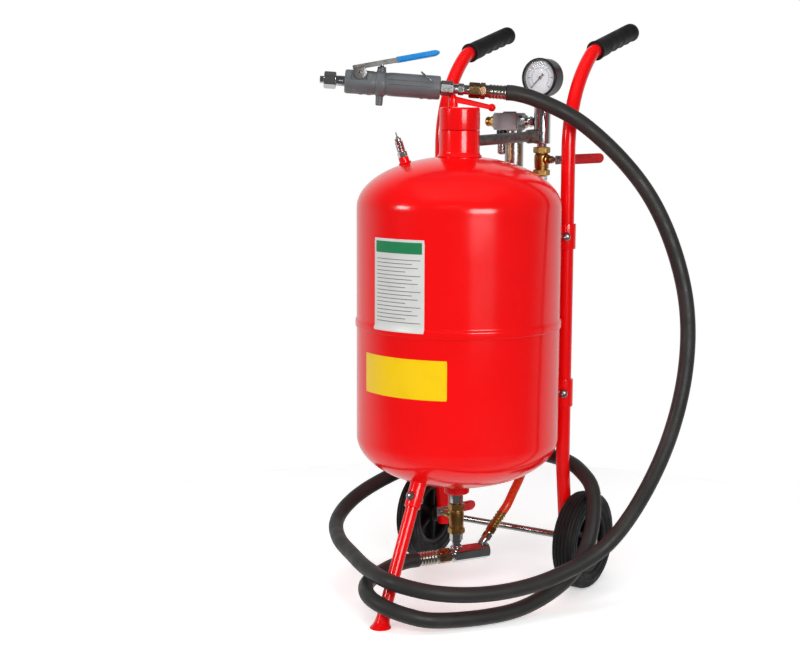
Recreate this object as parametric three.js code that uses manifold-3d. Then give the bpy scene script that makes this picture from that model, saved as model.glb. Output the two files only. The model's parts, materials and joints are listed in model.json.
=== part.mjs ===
// Portable pressure blast tank on a two-wheel trolley, with a blast hose and hand gun.
// Millimetres, +Z up. It is drawn with the tank's axis at x = y = 0 and the floor at z = 0;
// the front leg points to -Y, the handles and wheels to +Y. The last lines move the group
// so that the frame's origin is the centre of the base, measured without the hoses.
import * as THREE from "three";
import { mergeVertices } from "three/addons/utils/BufferGeometryUtils.js";
import Module from "manifold-3d";

const wasm = await Module();
wasm.setup();

// ---------------------------------------------------------------- driving dimensions
const GAP = 0.3; // left between pieces that touch

const TANK_R = 180; // outside radius of the shell
const WALL = 3;
const HEAD = 90; // height of each 2:1 elliptical head
const LOW_TANGENT = 294; // where the lower head meets the straight wall
const TOP_TANGENT = 700;
const SEAM = 497; // girth weld
const NECK_R = 35.25;
const NECK_TOP = 834.5;
const LID_TOP = 874;

const TUBE_X = 134; // handle tubes, each side of the centre plane
const TUBE_Y = 150;
const TUBE_R = 12.5;
const TUBE_BORE = 11;
const GRIP_L = 160; // each grip's length
const GRIP_REACH = GRIP_L - 6; // how far the tube runs inside it
const AXLE_Y = 167;
const WHEEL_R = 88.4;
const WHEEL_X = 170; // centre of each wheel
const WHEEL_W = 40;
const AXLE_R = 6.35;

const LEG_R = 11;
const LEG_FOOT_Y = -240; // where the leg's axis meets the floor
const LEG_SLOPE = 26.85; // degrees from the vertical

const POST = [70, 168]; // gauge post and inlet valve
const BLOCK_Z = 72; // axis of the mixing block
const BLOCK_AZ = 62; // its heading, degrees from +X
const BLOCK_AF = 27;

const HOSE_R = 13.5; // blast hose
const AIR_R = 8.2; // air hose

const GUN_Z = 904.9; // the gun's axis above the tank's axis
const GUN_AZ = 34.31; // its heading, degrees from +X
const GUN_DROOP = 3.86; // degrees down towards the hose
const GUN_R = 20.6;

// ---------------------------------------------------------------- colours and finishes
const FINISH = {
  red: [0xc40d16, 0.28, 0],
  blackGrip: [0x1b1b1d, 0.75, 0],
  tyre: [0x1c1b1b, 0.85, 0],
  hubPlastic: [0x222224, 0.55, 0],
  zinc: [0xb9bbb8, 0.35, 1],
  chrome: [0xd5d6d6, 0.15, 1],
  brass: [0xb98a3a, 0.3, 1],
  passivated: [0xa8876a, 0.35, 1],
  orange: [0xf04a12, 0.4, 0],
  hose: [0x1d1d1c, 0.7, 0],
  gunGrey: [0x6f7375, 0.5, 0.4],
  blue: [0x1f8fd6, 0.45, 0],
  filterGrey: [0x9c9599, 0.45, 0.5],
  galvanised: [0x8b8a87, 0.45, 0.8],
  caseBlack: [0x17181a, 0.4, 0],
  dialWhite: [0xeef1f2, 0.6, 0],
  glass: [0xdfe8ea, 0.05, 0],
  seal: [0x2a2624, 0.8, 0],
};

// ---------------------------------------------------------------- helpers
const V = (x, y, z) => new THREE.Vector3(x, y, z);
const DEG = Math.PI / 180;
const UP = V(0, 0, 1);
const hexR = (acrossFlats) => acrossFlats / 2 / Math.cos(30 * DEG);
const heading = (degrees) => V(Math.cos(degrees * DEG), Math.sin(degrees * DEG), 0);

// A frame at a point, with +Z along the axis and +X as near to upright as it can be.
function frameAt(at, axis) {
  const w = axis.clone().normalize();
  const hint = Math.abs(w.z) > 0.99 ? V(0, 1, 0) : UP;
  const u = hint.clone().addScaledVector(w, -hint.dot(w)).normalize();
  return new THREE.Matrix4().makeBasis(u, w.clone().cross(u), w).setPosition(at);
}

// A solid of revolution; the profile lists [radius, distance along the axis].
function turned(profile, at, axis, sides = 12) {
  const points = profile.map(([r, h]) => new THREE.Vector2(r, h));
  return new THREE.LatheGeometry(points, sides).rotateX(Math.PI / 2).applyMatrix4(frameAt(at, axis));
}

function rod(from, to, radius, sides = 12) {
  const along = to.clone().sub(from);
  const length = along.length();
  const profile = [[0, 0], [radius, 0], [radius, length], [0, length]];
  return turned(profile, from, along, sides);
}

function upright(x, y, z0, z1, radius, sides = 12) {
  return rod(V(x, y, z0), V(x, y, z1), radius, sides);
}

// A ring about an axis, with the profile closed on itself.
function ring(profile, at, axis, sides = 12) {
  return turned([...profile, profile[0]], at, axis, sides);
}

function box(low, high) {
  const size = high.map((v, i) => v - low[i]);
  const mid = high.map((v, i) => (v + low[i]) / 2);
  return new THREE.BoxGeometry(...size).translate(...mid);
}

// A plate of even thickness, drawn in the plane of two directions and centred on it.
function plate(outline, thickness, at, across, up) {
  const shape = new THREE.Shape(outline.map(([x, y]) => new THREE.Vector2(x, y)));
  const normal = across.clone().cross(up);
  const frame = new THREE.Matrix4().makeBasis(across, up, normal).setPosition(at);
  return new THREE.ExtrudeGeometry(shape, { depth: thickness, bevelEnabled: false })
    .translate(0, 0, -thickness / 2)
    .applyMatrix4(frame);
}

// A round bar that follows a list of points, with a ring of corners at each.
function bentBar(points, radius, sides = 16) {
  const positions = [];
  const index = [];
  let side = null;
  points.forEach((p, i) => {
    const before = points[Math.max(i - 1, 0)];
    const after = points[Math.min(i + 1, points.length - 1)];
    const into = (i ? p.clone().sub(before) : after.clone().sub(p)).normalize();
    const out = (i < points.length - 1 ? after.clone().sub(p) : into.clone()).normalize();
    const along = into.add(out).normalize();
    side = side || V(along.y, along.z, along.x).cross(along).normalize();
    side = side.clone().addScaledVector(along, -side.dot(along)).normalize();
    const other = along.clone().cross(side);
    for (let k = 0; k < sides; k++) {
      const a = (2 * Math.PI * k) / sides;
      const q = p.clone();
      q.addScaledVector(side, radius * Math.cos(a));
      q.addScaledVector(other, radius * Math.sin(a));
      positions.push(q.x, q.y, q.z);
    }
  });
  for (let i = 0; i < points.length - 1; i++)
    for (let k = 0; k < sides; k++) {
      const a = i * sides + k;
      const b = i * sides + ((k + 1) % sides);
      index.push(a, b, b + sides, a, b + sides, a + sides);
    }
  const last = (points.length - 1) * sides;
  for (let k = 1; k < sides - 1; k++) {
    index.push(0, k + 1, k);
    index.push(last, last + k, last + k + 1);
  }
  const made = new THREE.BufferGeometry();
  made.setAttribute("position", new THREE.Float32BufferAttribute(positions, 3));
  return made.setIndex(index);
}

// A hose along a smooth curve through hand-chosen points.
function hose(points, radius, steps) {
  const curve = new THREE.CatmullRomCurve3(points, false, "centripetal");
  const section = new THREE.Shape();
  for (let k = 0; k < 8; k++) {
    const a = (2 * Math.PI * k) / 8;
    const move = k ? "lineTo" : "moveTo";
    section[move](radius * Math.cos(a), radius * Math.sin(a));
  }
  section.closePath();
  return new THREE.ExtrudeGeometry(section, { steps, bevelEnabled: false, extrudePath: curve });
}

function solid(geometry) {
  const bare = geometry.clone();
  bare.deleteAttribute("normal");
  bare.deleteAttribute("uv");
  const merged = mergeVertices(bare, 1e-4);
  const corners = merged.index.array;
  const kept = [];
  for (let i = 0; i < corners.length; i += 3) {
    const [a, b, c] = corners.slice(i, i + 3);
    if (a !== b && b !== c && c !== a) kept.push(a, b, c);
  }
  const vertProperties = merged.attributes.position.array;
  const mesh = new wasm.Mesh({ numProp: 3, vertProperties, triVerts: new Uint32Array(kept) });
  return new wasm.Manifold(mesh);
}

function geometryOf(made) {
  const mesh = made.getMesh();
  const geometry = new THREE.BufferGeometry();
  geometry.setAttribute("position", new THREE.BufferAttribute(Float32Array.from(mesh.vertProperties), 3));
  geometry.setIndex(new THREE.BufferAttribute(Uint32Array.from(mesh.triVerts), 1));
  return geometry;
}

const join = (first, ...rest) => geometryOf(rest.reduce((sum, g) => sum.add(solid(g)), solid(first)));
const cut = (first, ...tools) => geometryOf(tools.reduce((left, g) => left.subtract(solid(g)), solid(first)));

const group = new THREE.Group();
group.name = "blast_tank";

function part(name, geometry, finish) {
  const [color, roughness, metalness] = FINISH[finish];
  geometry.computeVertexNormals();
  const mesh = new THREE.Mesh(geometry, new THREE.MeshStandardMaterial({ color, roughness, metalness }));
  mesh.name = name;
  group.add(mesh);
}

// ---------------------------------------------------------------- tank
// Height of the elliptical head above its tangent line, at a radius.
const headHeight = (r, radius, height) => height * Math.sqrt(Math.max(0, 1 - (r / radius) ** 2));

// Points of a head from a hole's radius out to the wall, as [radius, height].
function headCurve(hole, radius, height) {
  const start = Math.asin(hole / radius);
  const points = [];
  for (let i = 0; i <= 5; i++) {
    const a = start + (Math.PI / 2 - start) * (i / 5);
    points.push([radius * Math.sin(a), height * Math.cos(a)]);
  }
  return points;
}

function lowerShell() {
  const hole = 9.5;
  const rim = SEAM + 4.5;
  const outside = headCurve(hole, TANK_R, HEAD).map(([r, h]) => [r, LOW_TANGENT - h]);
  const inside = headCurve(hole, TANK_R - WALL, HEAD - WALL).map(([r, h]) => [r, LOW_TANGENT - h]);
  const profile = [...outside, [TANK_R, rim], [TANK_R - WALL, rim], ...inside.reverse()];
  return ring(profile, V(0, 0, 0), UP, 32);
}

// Its lower rim is joggled outwards and laps over the lower shell.
function upperShell() {
  const hole = 29;
  const lap = TANK_R + GAP;
  const outside = headCurve(hole, TANK_R, HEAD).map(([r, h]) => [r, TOP_TANGENT + h]);
  const inside = headCurve(hole, TANK_R - WALL, HEAD - WALL).map(([r, h]) => [r, TOP_TANGENT + h]);
  const profile = [
    [lap, SEAM - 5],
    [lap + 2, SEAM - 5],
    [lap + 2, SEAM + 6],
    [TANK_R, SEAM + 10],
    ...outside.reverse(),
    ...inside,
    [TANK_R - WALL, SEAM + 10],
    [lap, SEAM + 6],
  ];
  return ring(profile, V(0, 0, 0), UP, 32);
}

function outletPad() {
  return ring([[8.6, 186], [21, 186], [23, 188], [23, 203.6], [8.6, 203.6]], V(0, 0, 0), UP, 20);
}

function fillerNeck() {
  const profile = [
    [30, 789.2],
    [39, 788.4],
    [38, 791],
    [36, 794],
    [NECK_R, 797],
    [NECK_R, NECK_TOP],
    [32.5, NECK_TOP],
    [32.5, NECK_TOP - 3.5],
    [30, NECK_TOP - 3.5],
  ];
  return ring(profile, V(0, 0, 0), UP, 20);
}

function lidGasket() {
  const z = NECK_TOP - 3.2;
  return ring([[28.9, z], [32.2, z], [32.2, z + 2.9], [28.9, z + 2.9]], V(0, 0, 0), UP, 20);
}

function fillerLid() {
  const base = NECK_TOP + GAP * 2;
  const profile = [
    [0, NECK_TOP - 8.5],
    [28.5, NECK_TOP - 8.5],
    [28.5, base],
    [NECK_R, base],
    [NECK_R, LID_TOP - 2.5],
    [NECK_R - 2, LID_TOP],
    [0, LID_TOP],
  ];
  return turned(profile, V(0, 0, 0), UP, 20);
}

// The hub stands on the lid; the channel lever droops from it to a ball end.
function lidLever() {
  const out = heading(GUN_AZ);
  const hub = out.clone().multiplyScalar(-12);
  const post = upright(hub.x, hub.y, LID_TOP + GAP, 893.3, 8.5, 12);
  const droop = out.clone().multiplyScalar(Math.cos(12.3 * DEG)).addScaledVector(UP, -Math.sin(12.3 * DEG));
  const top = new THREE.Vector3().crossVectors(droop, heading(GUN_AZ - 90)).normalize().negate();
  const start = V(hub.x, hub.y, 888.4);
  const bar = plate([[2, -5.5], [66, -4.2], [66, 4.2], [2, 5.5]], 13, start, droop, top);
  const groove = plate([[12, -7], [60, -7], [60, 2.2], [12, 2.2]], 8, start, droop, top);
  const end = start.clone().addScaledVector(droop, 69);
  const ball = new THREE.SphereGeometry(6.85, 12, 6).translate(end.x, end.y, end.z);
  return join(cut(join(post, bar), groove), ball);
}

// ---------------------------------------------------------------- safety valve
const RELIEF_R = 95;
const RELIEF_AZ = 214.3;
const RELIEF_LEAN = 17.26;
const reliefFoot = heading(RELIEF_AZ).multiplyScalar(RELIEF_R);
reliefFoot.setZ(TOP_TANGENT + headHeight(RELIEF_R, TANK_R, HEAD));
const reliefAxis = heading(RELIEF_AZ).multiplyScalar(Math.sin(RELIEF_LEAN * DEG));
reliefAxis.setZ(Math.cos(RELIEF_LEAN * DEG));

function reliefStub() {
  return turned([[0, 0.5], [9, 0.5], [9, 12], [0, 12]], reliefFoot, reliefAxis);
}

function reliefBody() {
  const hex = turned([[0, 12.3], [hexR(15), 12.3], [hexR(15), 21], [0, 21]], reliefFoot, reliefAxis, 6);
  const barrel = turned([[0, 20], [6.8, 20], [7.6, 24], [7.6, 39.5], [0, 39.5]], reliefFoot, reliefAxis);
  const bore = turned([[0, 30], [3.1, 30], [3.1, 45], [0, 45]], reliefFoot, reliefAxis);
  return cut(join(hex, barrel), bore);
}

// The spindle slides up in the body; a pull ring sits on its cap.
function reliefStem() {
  const profile = [[0, 31], [2.8, 31], [2.8, 40], [5.8, 40], [5.8, 45], [2.6, 46.5], [2.6, 49], [0, 49]];
  const spindle = turned(profile, reliefFoot, reliefAxis);
  const eye = new THREE.TorusGeometry(4.2, 1.1, 4, 10);
  eye.rotateY(Math.PI / 2).translate(0, 0, 51.5).applyMatrix4(frameAt(reliefFoot, reliefAxis));
  return join(spindle, eye);
}

// ---------------------------------------------------------------- trolley
// The centre line of a handle tube, from its lower end to a distance along the grip.
function handleLine(x, lowZ, gripLength) {
  const points = [
    V(x, AXLE_Y + ((88.4 - lowZ) * 16) / 142, lowZ),
    V(x, TUBE_Y + 1, 222),
    V(x, TUBE_Y, 238),
    V(x, TUBE_Y, 520),
    V(x, TUBE_Y, 801.5),
  ];
  const bend = (radius, from, to, steps) => {
    const p = points[points.length - 1];
    const cy = p.y + radius * Math.cos(from * DEG);
    const cz = p.z - radius * Math.sin(from * DEG);
    for (let i = 1; i <= steps; i++) {
      const a = (from + ((to - from) * i) / steps) * DEG;
      points.push(V(x, cy - radius * Math.cos(a), cz + radius * Math.sin(a)));
    }
  };
  bend(215, 0, 50, 6);
  bend(45, 50, 75, 3);
  const start = points[points.length - 1].clone();
  points.push(start.clone().addScaledVector(V(0, Math.sin(75 * DEG), Math.cos(75 * DEG)), gripLength));
  return points;
}

function handleTube(x) {
  const skin = bentBar(handleLine(x, 74, GRIP_REACH), TUBE_R, 10);
  const bore = bentBar(handleLine(x, 78, GRIP_REACH + 4), TUBE_BORE, 8);
  const axleHole = rod(V(x - 20, AXLE_Y, WHEEL_R), V(x + 20, AXLE_Y, WHEEL_R), AXLE_R + 0.5, 12);
  return cut(skin, bore, axleHole);
}

// A sleeve with four finger grooves underneath.
function grip(x) {
  const line = handleLine(x, 74, 0);
  const start = line[line.length - 1];
  const along = V(0, Math.sin(75 * DEG), Math.cos(75 * DEG));
  const below = V(0, Math.cos(75 * DEG), -Math.sin(75 * DEG));
  const profile = [[0, 1], [16.5, 1], [17, 3], [17, GRIP_L - 6], [13.5, GRIP_L], [0, GRIP_L]];
  const skin = turned(profile, start, along, 14);
  const end = GRIP_REACH + 1;
  const bore = turned([[0, -2], [13.3, -2], [13.3, end], [0, end]], start, along, 12);
  const grooves = [0, 1, 2, 3].map((i) => {
    const c = start.clone().addScaledVector(along, 52 + 26 * i).addScaledVector(below, 26.5);
    return rod(c.clone().setX(x - 25), c.clone().setX(x + 25), 12.5, 10);
  });
  return cut(skin, bore, ...grooves);
}

// A sleeve around the tube with a web that meets the tank's wall.
function bracket(x, low, high) {
  const inward = V(-x, -TUBE_Y, 0).normalize();
  const sideways = UP.clone().cross(inward);
  const mid = V(x, TUBE_Y, (low + high) / 2);
  const web = plate([[0, -12], [24, -12], [24, 12], [0, 12]], high - low, mid, inward, sideways);
  const sleeve = upright(x, TUBE_Y, low, high, 16, 16);
  const tube = upright(x, TUBE_Y, low - 5, high + 5, TUBE_R + 0.8, 12);
  const tank = upright(0, 0, low - 5, high + 5, TANK_R + GAP, 64);
  return cut(join(sleeve, web), tube, tank);
}

function axle() {
  const end = WHEEL_X + WHEEL_W / 2 + 0.6;
  const profile = [[0, -end - 5], [9.5, -end - 4], [10, -end], [AXLE_R, -end], [AXLE_R, end]];
  profile.push([10, end], [9.5, end + 4], [0, end + 5]);
  return turned(profile, V(0, AXLE_Y, WHEEL_R), V(1, 0, 0), 16);
}

function tyre(x) {
  const profile = [[58.3, -17], [66, -19.5], [78, -20], [85, -18], [WHEEL_R, -12]];
  const mirrored = profile.map(([r, h]) => [r, -h]).reverse();
  return ring([...profile, ...mirrored], V(x, AXLE_Y, WHEEL_R), V(1, 0, 0), 32);
}

// A rim, a boss and six spokes.
function wheelHub(x) {
  const centre = V(x, AXLE_Y, WHEEL_R);
  const across = V(1, 0, 0);
  const rim = ring([[52.5, -16], [58, -16.5], [58, 16.5], [52.5, 16]], centre, across, 32);
  const boss = turned([[0, -20], [16, -20], [16, 20], [0, 20]], centre, across, 16);
  const spokes = [0, 1, 2, 3, 4, 5].map((i) => {
    const a = (60 * i + 30) * DEG;
    const out = V(0, Math.cos(a), Math.sin(a));
    return plate([[12, -5], [54.5, -4], [54.5, 4], [12, 5]], 24, centre, out, out.clone().cross(across));
  });
  const bore = rod(centre.clone().setX(x - 25), centre.clone().setX(x + 25), AXLE_R + 0.2, 16);
  return cut(join(rim, boss, ...spokes), bore);
}

// ---------------------------------------------------------------- front leg
const legDir = V(0, Math.sin(LEG_SLOPE * DEG), Math.cos(LEG_SLOPE * DEG));
const legPoint = (length) => V(0, LEG_FOOT_Y, 0).addScaledVector(legDir, length);
const boltDir = V(0, -Math.cos(LEG_SLOPE * DEG), Math.sin(LEG_SLOPE * DEG)); // out of the leg's front
const boltPoint = (out) => legPoint(229.8).addScaledVector(boltDir, out);

// The outside of the lower head, grown by a gap.
function headTool(gap) {
  const curve = headCurve(0, TANK_R + gap, HEAD + gap).map(([r, h]) => [r, LOW_TANGENT - h]);
  return turned([...curve, [TANK_R + gap, 400], [0, 400]], V(0, 0, 0), UP, 32);
}

const boltHole = () => rod(boltPoint(-30), boltPoint(30), 4.4, 10);

function legSocket() {
  const skin = rod(legPoint(212), legPoint(285), 14);
  const bore = rod(legPoint(205), legPoint(290), LEG_R + GAP);
  return cut(skin, bore, headTool(0.5), boltHole());
}

function leg() {
  const bar = rod(legPoint(4), legPoint(262), LEG_R);
  const bore = rod(legPoint(22), legPoint(270), LEG_R - 1.5, 8);
  const tube = cut(bar, bore, headTool(2), boltHole(), box([-40, -300, -20], [40, -180, 0]));
  const flare = [[0, 0], [18.5, 0], [18.5, 3], [13, 12], [9, 16], [0, 16]];
  const foot = turned(flare, V(0, LEG_FOOT_Y + 2, 0), UP, 16);
  return join(tube, foot);
}

function legBolt() {
  const shank = rod(boltPoint(-21), boltPoint(16), 3.9, 10);
  const dome = turned([[0, 14.4], [8, 14.4], [8, 16], [5.6, 18.6], [0, 19.6]], boltPoint(0), boltDir);
  const nut = rod(boltPoint(-20), boltPoint(-14.4), hexR(13), 6);
  return join(shank, dome, nut);
}

// ---------------------------------------------------------------- ball valves
const BALL_R = 9.3;
const STEM_R = 3.2;

// One valve: where it stands, its ends, the height of its spindle and the spindle's heading.
const OUTLET = { x: 0, y: 0, low: 111.5, high: 166.4, stem: 145, az: 173, reach: 42 };
const INLET = { x: POST[0], y: POST[1], low: 752, high: 803.4, stem: 781, az: -12, reach: 46 };

function valveBody(v) {
  const base = V(v.x, v.y, 0);
  const skin = turned([[0, v.low + 8], [12.6, v.low + 8], [12.6, v.high - 8], [0, v.high - 8]], base, UP, 16);
  const lower = turned([[0, v.low], [13.5, v.low], [13.5, v.low + 12], [0, v.low + 12]], base, UP, 6);
  const upper = turned([[0, v.high - 12], [13.5, v.high - 12], [13.5, v.high], [0, v.high]], base, UP, 6);
  const centre = V(v.x, v.y, v.stem);
  const gland = rod(centre, centre.clone().addScaledVector(heading(v.az), 25), 6.8, 12);
  const bore = upright(v.x, v.y, v.low - 5, v.high + 5, 5.2, 10);
  const chamber = new THREE.SphereGeometry(BALL_R + 0.9, 12, 8).translate(v.x, v.y, v.stem);
  const spindle = rod(centre, centre.clone().addScaledVector(heading(v.az), 40), STEM_R + 0.1, 14);
  return cut(join(skin, lower, upper, gland), bore, chamber, spindle);
}

// The ball is drawn shut: its bore lies level, along the lever.
function valveBall(v) {
  const centre = V(v.x, v.y, v.stem);
  const out = heading(v.az);
  const along = heading(v.az + 90);
  const ball = new THREE.SphereGeometry(BALL_R, 12, 8).translate(v.x, v.y, v.stem);
  const from = (direction, distance) => centre.clone().addScaledVector(direction, distance);
  const port = rod(from(along, -20), from(along, 20), 5, 10);
  const spindle = rod(from(out, 6.5), from(out, v.reach), STEM_R, 14);
  return join(cut(ball, port), spindle);
}

// A flat lever square to the spindle, with a moulded sleeve over its outer part.
function valveLever(v, along, length, sleeveFrom, drop) {
  const out = heading(v.az);
  const at = V(v.x, v.y, v.stem).addScaledVector(out, v.reach - 5);
  const reach = along.clone().multiplyScalar(Math.cos(drop * DEG));
  reach.addScaledVector(UP, -Math.sin(drop * DEG));
  const top = UP.clone().addScaledVector(reach, -UP.dot(reach)).normalize();
  const strip = plate([[-9, -8], [sleeveFrom + 5, -6], [sleeveFrom + 5, 6], [-9, 8]], 3, at, reach, top);
  const outline = [[sleeveFrom, -9], [length - 7, -9], [length - 2, -6.5], [length, 0]];
  outline.push([length - 2, 6.5], [length - 7, 9], [sleeveFrom, 9]);
  const sleeve = plate(outline, 9, at, reach, top);
  const behind = at.clone().addScaledVector(out, -9);
  const before = at.clone().addScaledVector(out, 9);
  const hole = rod(behind, before, STEM_R + 0.1, 14);
  return cut(join(strip, sleeve), hole);
}

// ---------------------------------------------------------------- outlet line and mixing block
function outletNipple() {
  const corner = hexR(20.5);
  const profile = [[0, 166.8], [10, 166.8], [corner, 168], [corner, 184.5], [10, 185.6], [0, 185.6]];
  const hex = turned(profile, V(0, 0, 0), UP, 6);
  const thread = upright(0, 0, 185, 199, 8.2);
  return cut(join(hex, thread), upright(0, 0, 160, 205, 5.2, 10));
}

function lowerNipple() {
  const hex = turned([[0, 98.7], [hexR(21), 98.7], [hexR(21), 111.1], [0, 111.1]], V(0, 0, 0), UP, 6);
  const tail = upright(0, 0, 85.9, 100, 7.4);
  return join(hex, tail);
}

const blockDir = heading(BLOCK_AZ);
const blockPoint = (s, z = BLOCK_Z) => blockDir.clone().multiplyScalar(s).setZ(z);

// A hexagonal bar, with a collar for the hose at one end.
function mixingBlock() {
  const bar = rod(blockPoint(-7.5), blockPoint(65), hexR(BLOCK_AF), 6);
  const collar = rod(blockPoint(-14), blockPoint(-7), 11.5);
  return join(bar, collar);
}

const airDir = blockDir.clone().multiplyScalar(Math.cos(51 * DEG)).setZ(Math.sin(51 * DEG));
const AIR_ROOT = blockPoint(54, BLOCK_Z + BLOCK_AF / 2);
const airPoint = (length) => AIR_ROOT.clone().addScaledVector(airDir, length);

function airNipple() {
  const stub = rod(airPoint(-10), airPoint(12), 7.5);
  const nut = rod(airPoint(10), airPoint(22), hexR(17), 6);
  const neck = rod(airPoint(21), airPoint(24), 7);
  const below = box([-60, -20, 40], [120, 160, BLOCK_Z + BLOCK_AF / 2 + GAP]);
  return cut(join(stub, nut, neck), below);
}

function airBarb() {
  const at = airPoint(0);
  const hex = turned([[0, 24.3], [hexR(17), 24.3], [hexR(17), 36], [0, 36]], at, airDir, 6);
  const rings = [[0, 35], [7.8, 36], [7.8, 43], [9, 46], [7.8, 50], [9, 54], [8, 59], [8, 68], [0, 68]];
  return join(hex, turned(rings, at, airDir));
}

// The air hose climbs from the mixing block, behind the tank, to the inlet valve.
const AIR_ROUTE = [
  [51.5, 112, 170],
  [51, 138, 193],
  [50, 160, 220],
  [50, 177, 250],
  [52, 189, 290],
  [57, 194, 345],
  [63, 195, 410],
  [68, 192, 480],
  [72, 188, 550],
  [74, 183, 620],
  [75, 180.5, 672],
  [73, 175, 706],
].map((p) => V(...p));
const airLine = [airPoint(68.4), airPoint(84), ...AIR_ROUTE, V(...POST, 724), V(...POST, 734.6)];

// Crimped end of the blast hose at the mixing block: nut, then ferrule.
function lowerHoseNut() {
  return rod(blockPoint(-38), blockPoint(-14.3), hexR(24.5), 6);
}

function lowerFerrule() {
  const profile = [[0, 0], [11.5, 0], [11.5, 6], [13, 8], [13, 41.6], [0, 41.6]];
  return turned(profile, blockPoint(-38.3), blockDir.clone().negate(), 16);
}

// The blast hose from the lower ferrule: out past the leg, round behind the tank, past the
// leg again, then up beside the right wheel in one high loop to the gun.
const HOSE_ROUTE = [
  [-60, -118, 67.5],
  [-64, -180, 57],
  [-49, -213, 53],
  [-19, -241, 49],
  [18, -250.5, 42],
  [55, -240, 32],
  [88, -211, 22],
  [165, -83, 17.5],
  [195, -5, 35],
  [211, 45, 60],
  [218, 88, 98],
  [212, 124, 150],
  [195, 150, 192],
  [162, 170, 214],
  [118, 189, 226],
  [-25, 212, 226],
  [-105, 199, 214],
  [-167, 161, 196],
  [-227, 55, 156],
  [-239, -8, 130],
  [-225, -60, 111],
  [-183, -110, 98],
  [-115, -160.5, 90],
  [-47, -206.5, 85.5],
  [25, -234.5, 81],
  [95, -207, 69],
  [160, -124, 60.5],
  [218, -18, 74],
  [272, 76, 122.9],
  [335, 139, 268],
  [357.5, 181, 430],
  [341, 195, 570],
  [280, 175, 725],
  [180, 119, 845],
  [107, 73, 889],
].map((p) => V(...p));

// ---------------------------------------------------------------- inlet manifold
function inletBarb() {
  const base = V(POST[0], POST[1], 0);
  const hex = turned([[0, 743], [hexR(19), 743], [hexR(19), 751.7], [0, 751.7]], base, UP, 6);
  const tail = turned([[0, 735], [7.4, 735], [8.2, 737], [7.4, 739], [7.4, 744], [0, 744]], base, UP);
  return join(hex, tail);
}

function manifoldPost() {
  const profile = [[0, 803.8], [9, 803.8], [9, 809], [15, 809], [15, 892], [0, 892]];
  return turned(profile, V(...POST, 0), UP, 20);
}

const FILTER_Z = 848;

function manifoldPipe() {
  const out = V(...POST, 0).normalize();
  const point = (r, z) => out.clone().multiplyScalar(r).setZ(z);
  const line = [point(28, 815.4), point(176, 823.4)];
  const pipe = rod(...line, 9.5, 14);
  const flange = rod(point(150, 822), point(176, 823.4), 12.5, 14);
  const neck = upright(0, 0, 780, 860, NECK_R + GAP, 32);
  const post = upright(...POST, 780, 860, 15 + GAP, 24);
  return cut(join(pipe, flange), neck, post);
}

// The filter's body with the hexagon nipple that joins it to the post.
function filterHead() {
  const y = POST[1];
  const block = box([-25, y - 17, 833], [28, y + 17, 864]);
  const nut = rod(V(26, y, FILTER_Z), V(39, y, FILTER_Z), hexR(21), 6);
  const nipple = rod(V(38, y, FILTER_Z), V(56, y, FILTER_Z), 8.2, 14);
  const post = upright(...POST, 780, 880, 15 + GAP, 24);
  return cut(join(block, nut, nipple), post);
}

function filterBowl() {
  const base = V(12, POST[1], 0);
  const profile = [[0, 762], [13, 762], [17, 767], [17, 827], [15, 828], [15, 832.7], [0, 832.7]];
  const skin = turned(profile, base, UP, 18);
  const slot = box([7, POST[1] - 20, 775], [17, POST[1] - 14.5, 818]);
  return cut(skin, slot);
}

function inletCoupler() {
  const at = V(-25.3, POST[1], FILTER_Z);
  const left = V(-1, 0, 0);
  const hex = turned([[0, 0], [hexR(20), 0], [hexR(20), 8.5], [0, 8.5]], at, left, 6);
  const barrel = turned([[0, 8], [9, 8], [9, 19], [8, 20.5], [0, 20.5]], at, left);
  const bore = turned([[0, 6], [5.9, 8], [5.9, 25], [0, 25]], at, left, 12);
  return cut(join(hex, barrel), bore);
}

// ---------------------------------------------------------------- pressure gauge
const GAUGE = V(POST[0], 185, 927); // back of the case, on the dial's axis
const FRONT = V(0, -1, 0);

function gaugeCase() {
  const profile = [[0, 0], [31, 0], [34, 2.5], [34, 32], [33, 34], [30.8, 34], [30.8, 25], [0, 25]];
  const cup = turned(profile, GAUGE, FRONT, 24);
  const stem = upright(...POST, 892.3, 897, 7, 12);
  const arbor = rod(GAUGE.clone().setY(170), GAUGE.clone().setY(150), 1.6, 10);
  return cut(join(cup, stem), arbor);
}

function gaugeDial() {
  return ring([[1.15, 25.3], [30.4, 25.3], [30.4, 26.5], [1.15, 26.5]], GAUGE, FRONT, 24);
}

// Drawn at zero, pointing down to the left.
function gaugeNeedle() {
  const point = V(-1, 0, -1).normalize();
  const side = point.clone().cross(V(0, 1, 0)).normalize();
  const at = GAUGE.clone().setY(GAUGE.y - 28);
  const outline = [[-9, -1.8], [0, -1.1], [25, -0.5], [26.5, 0], [25, 0.5], [0, 1.1], [-9, 1.8]];
  const hand = plate(outline, 0.9, at, point, side);
  const hub = rod(GAUGE.clone().setY(GAUGE.y - 27.2), GAUGE.clone().setY(GAUGE.y - 29), 2.8, 12);
  const arbor = rod(GAUGE.clone().setY(GAUGE.y - 20), GAUGE.clone().setY(GAUGE.y - 28), 1.0, 8);
  return join(hand, hub, arbor);
}

function gaugeGlass() {
  return turned([[0, 31], [30.4, 31], [30.4, 32.6], [0, 32.6]], GAUGE, FRONT, 24);
}

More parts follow.
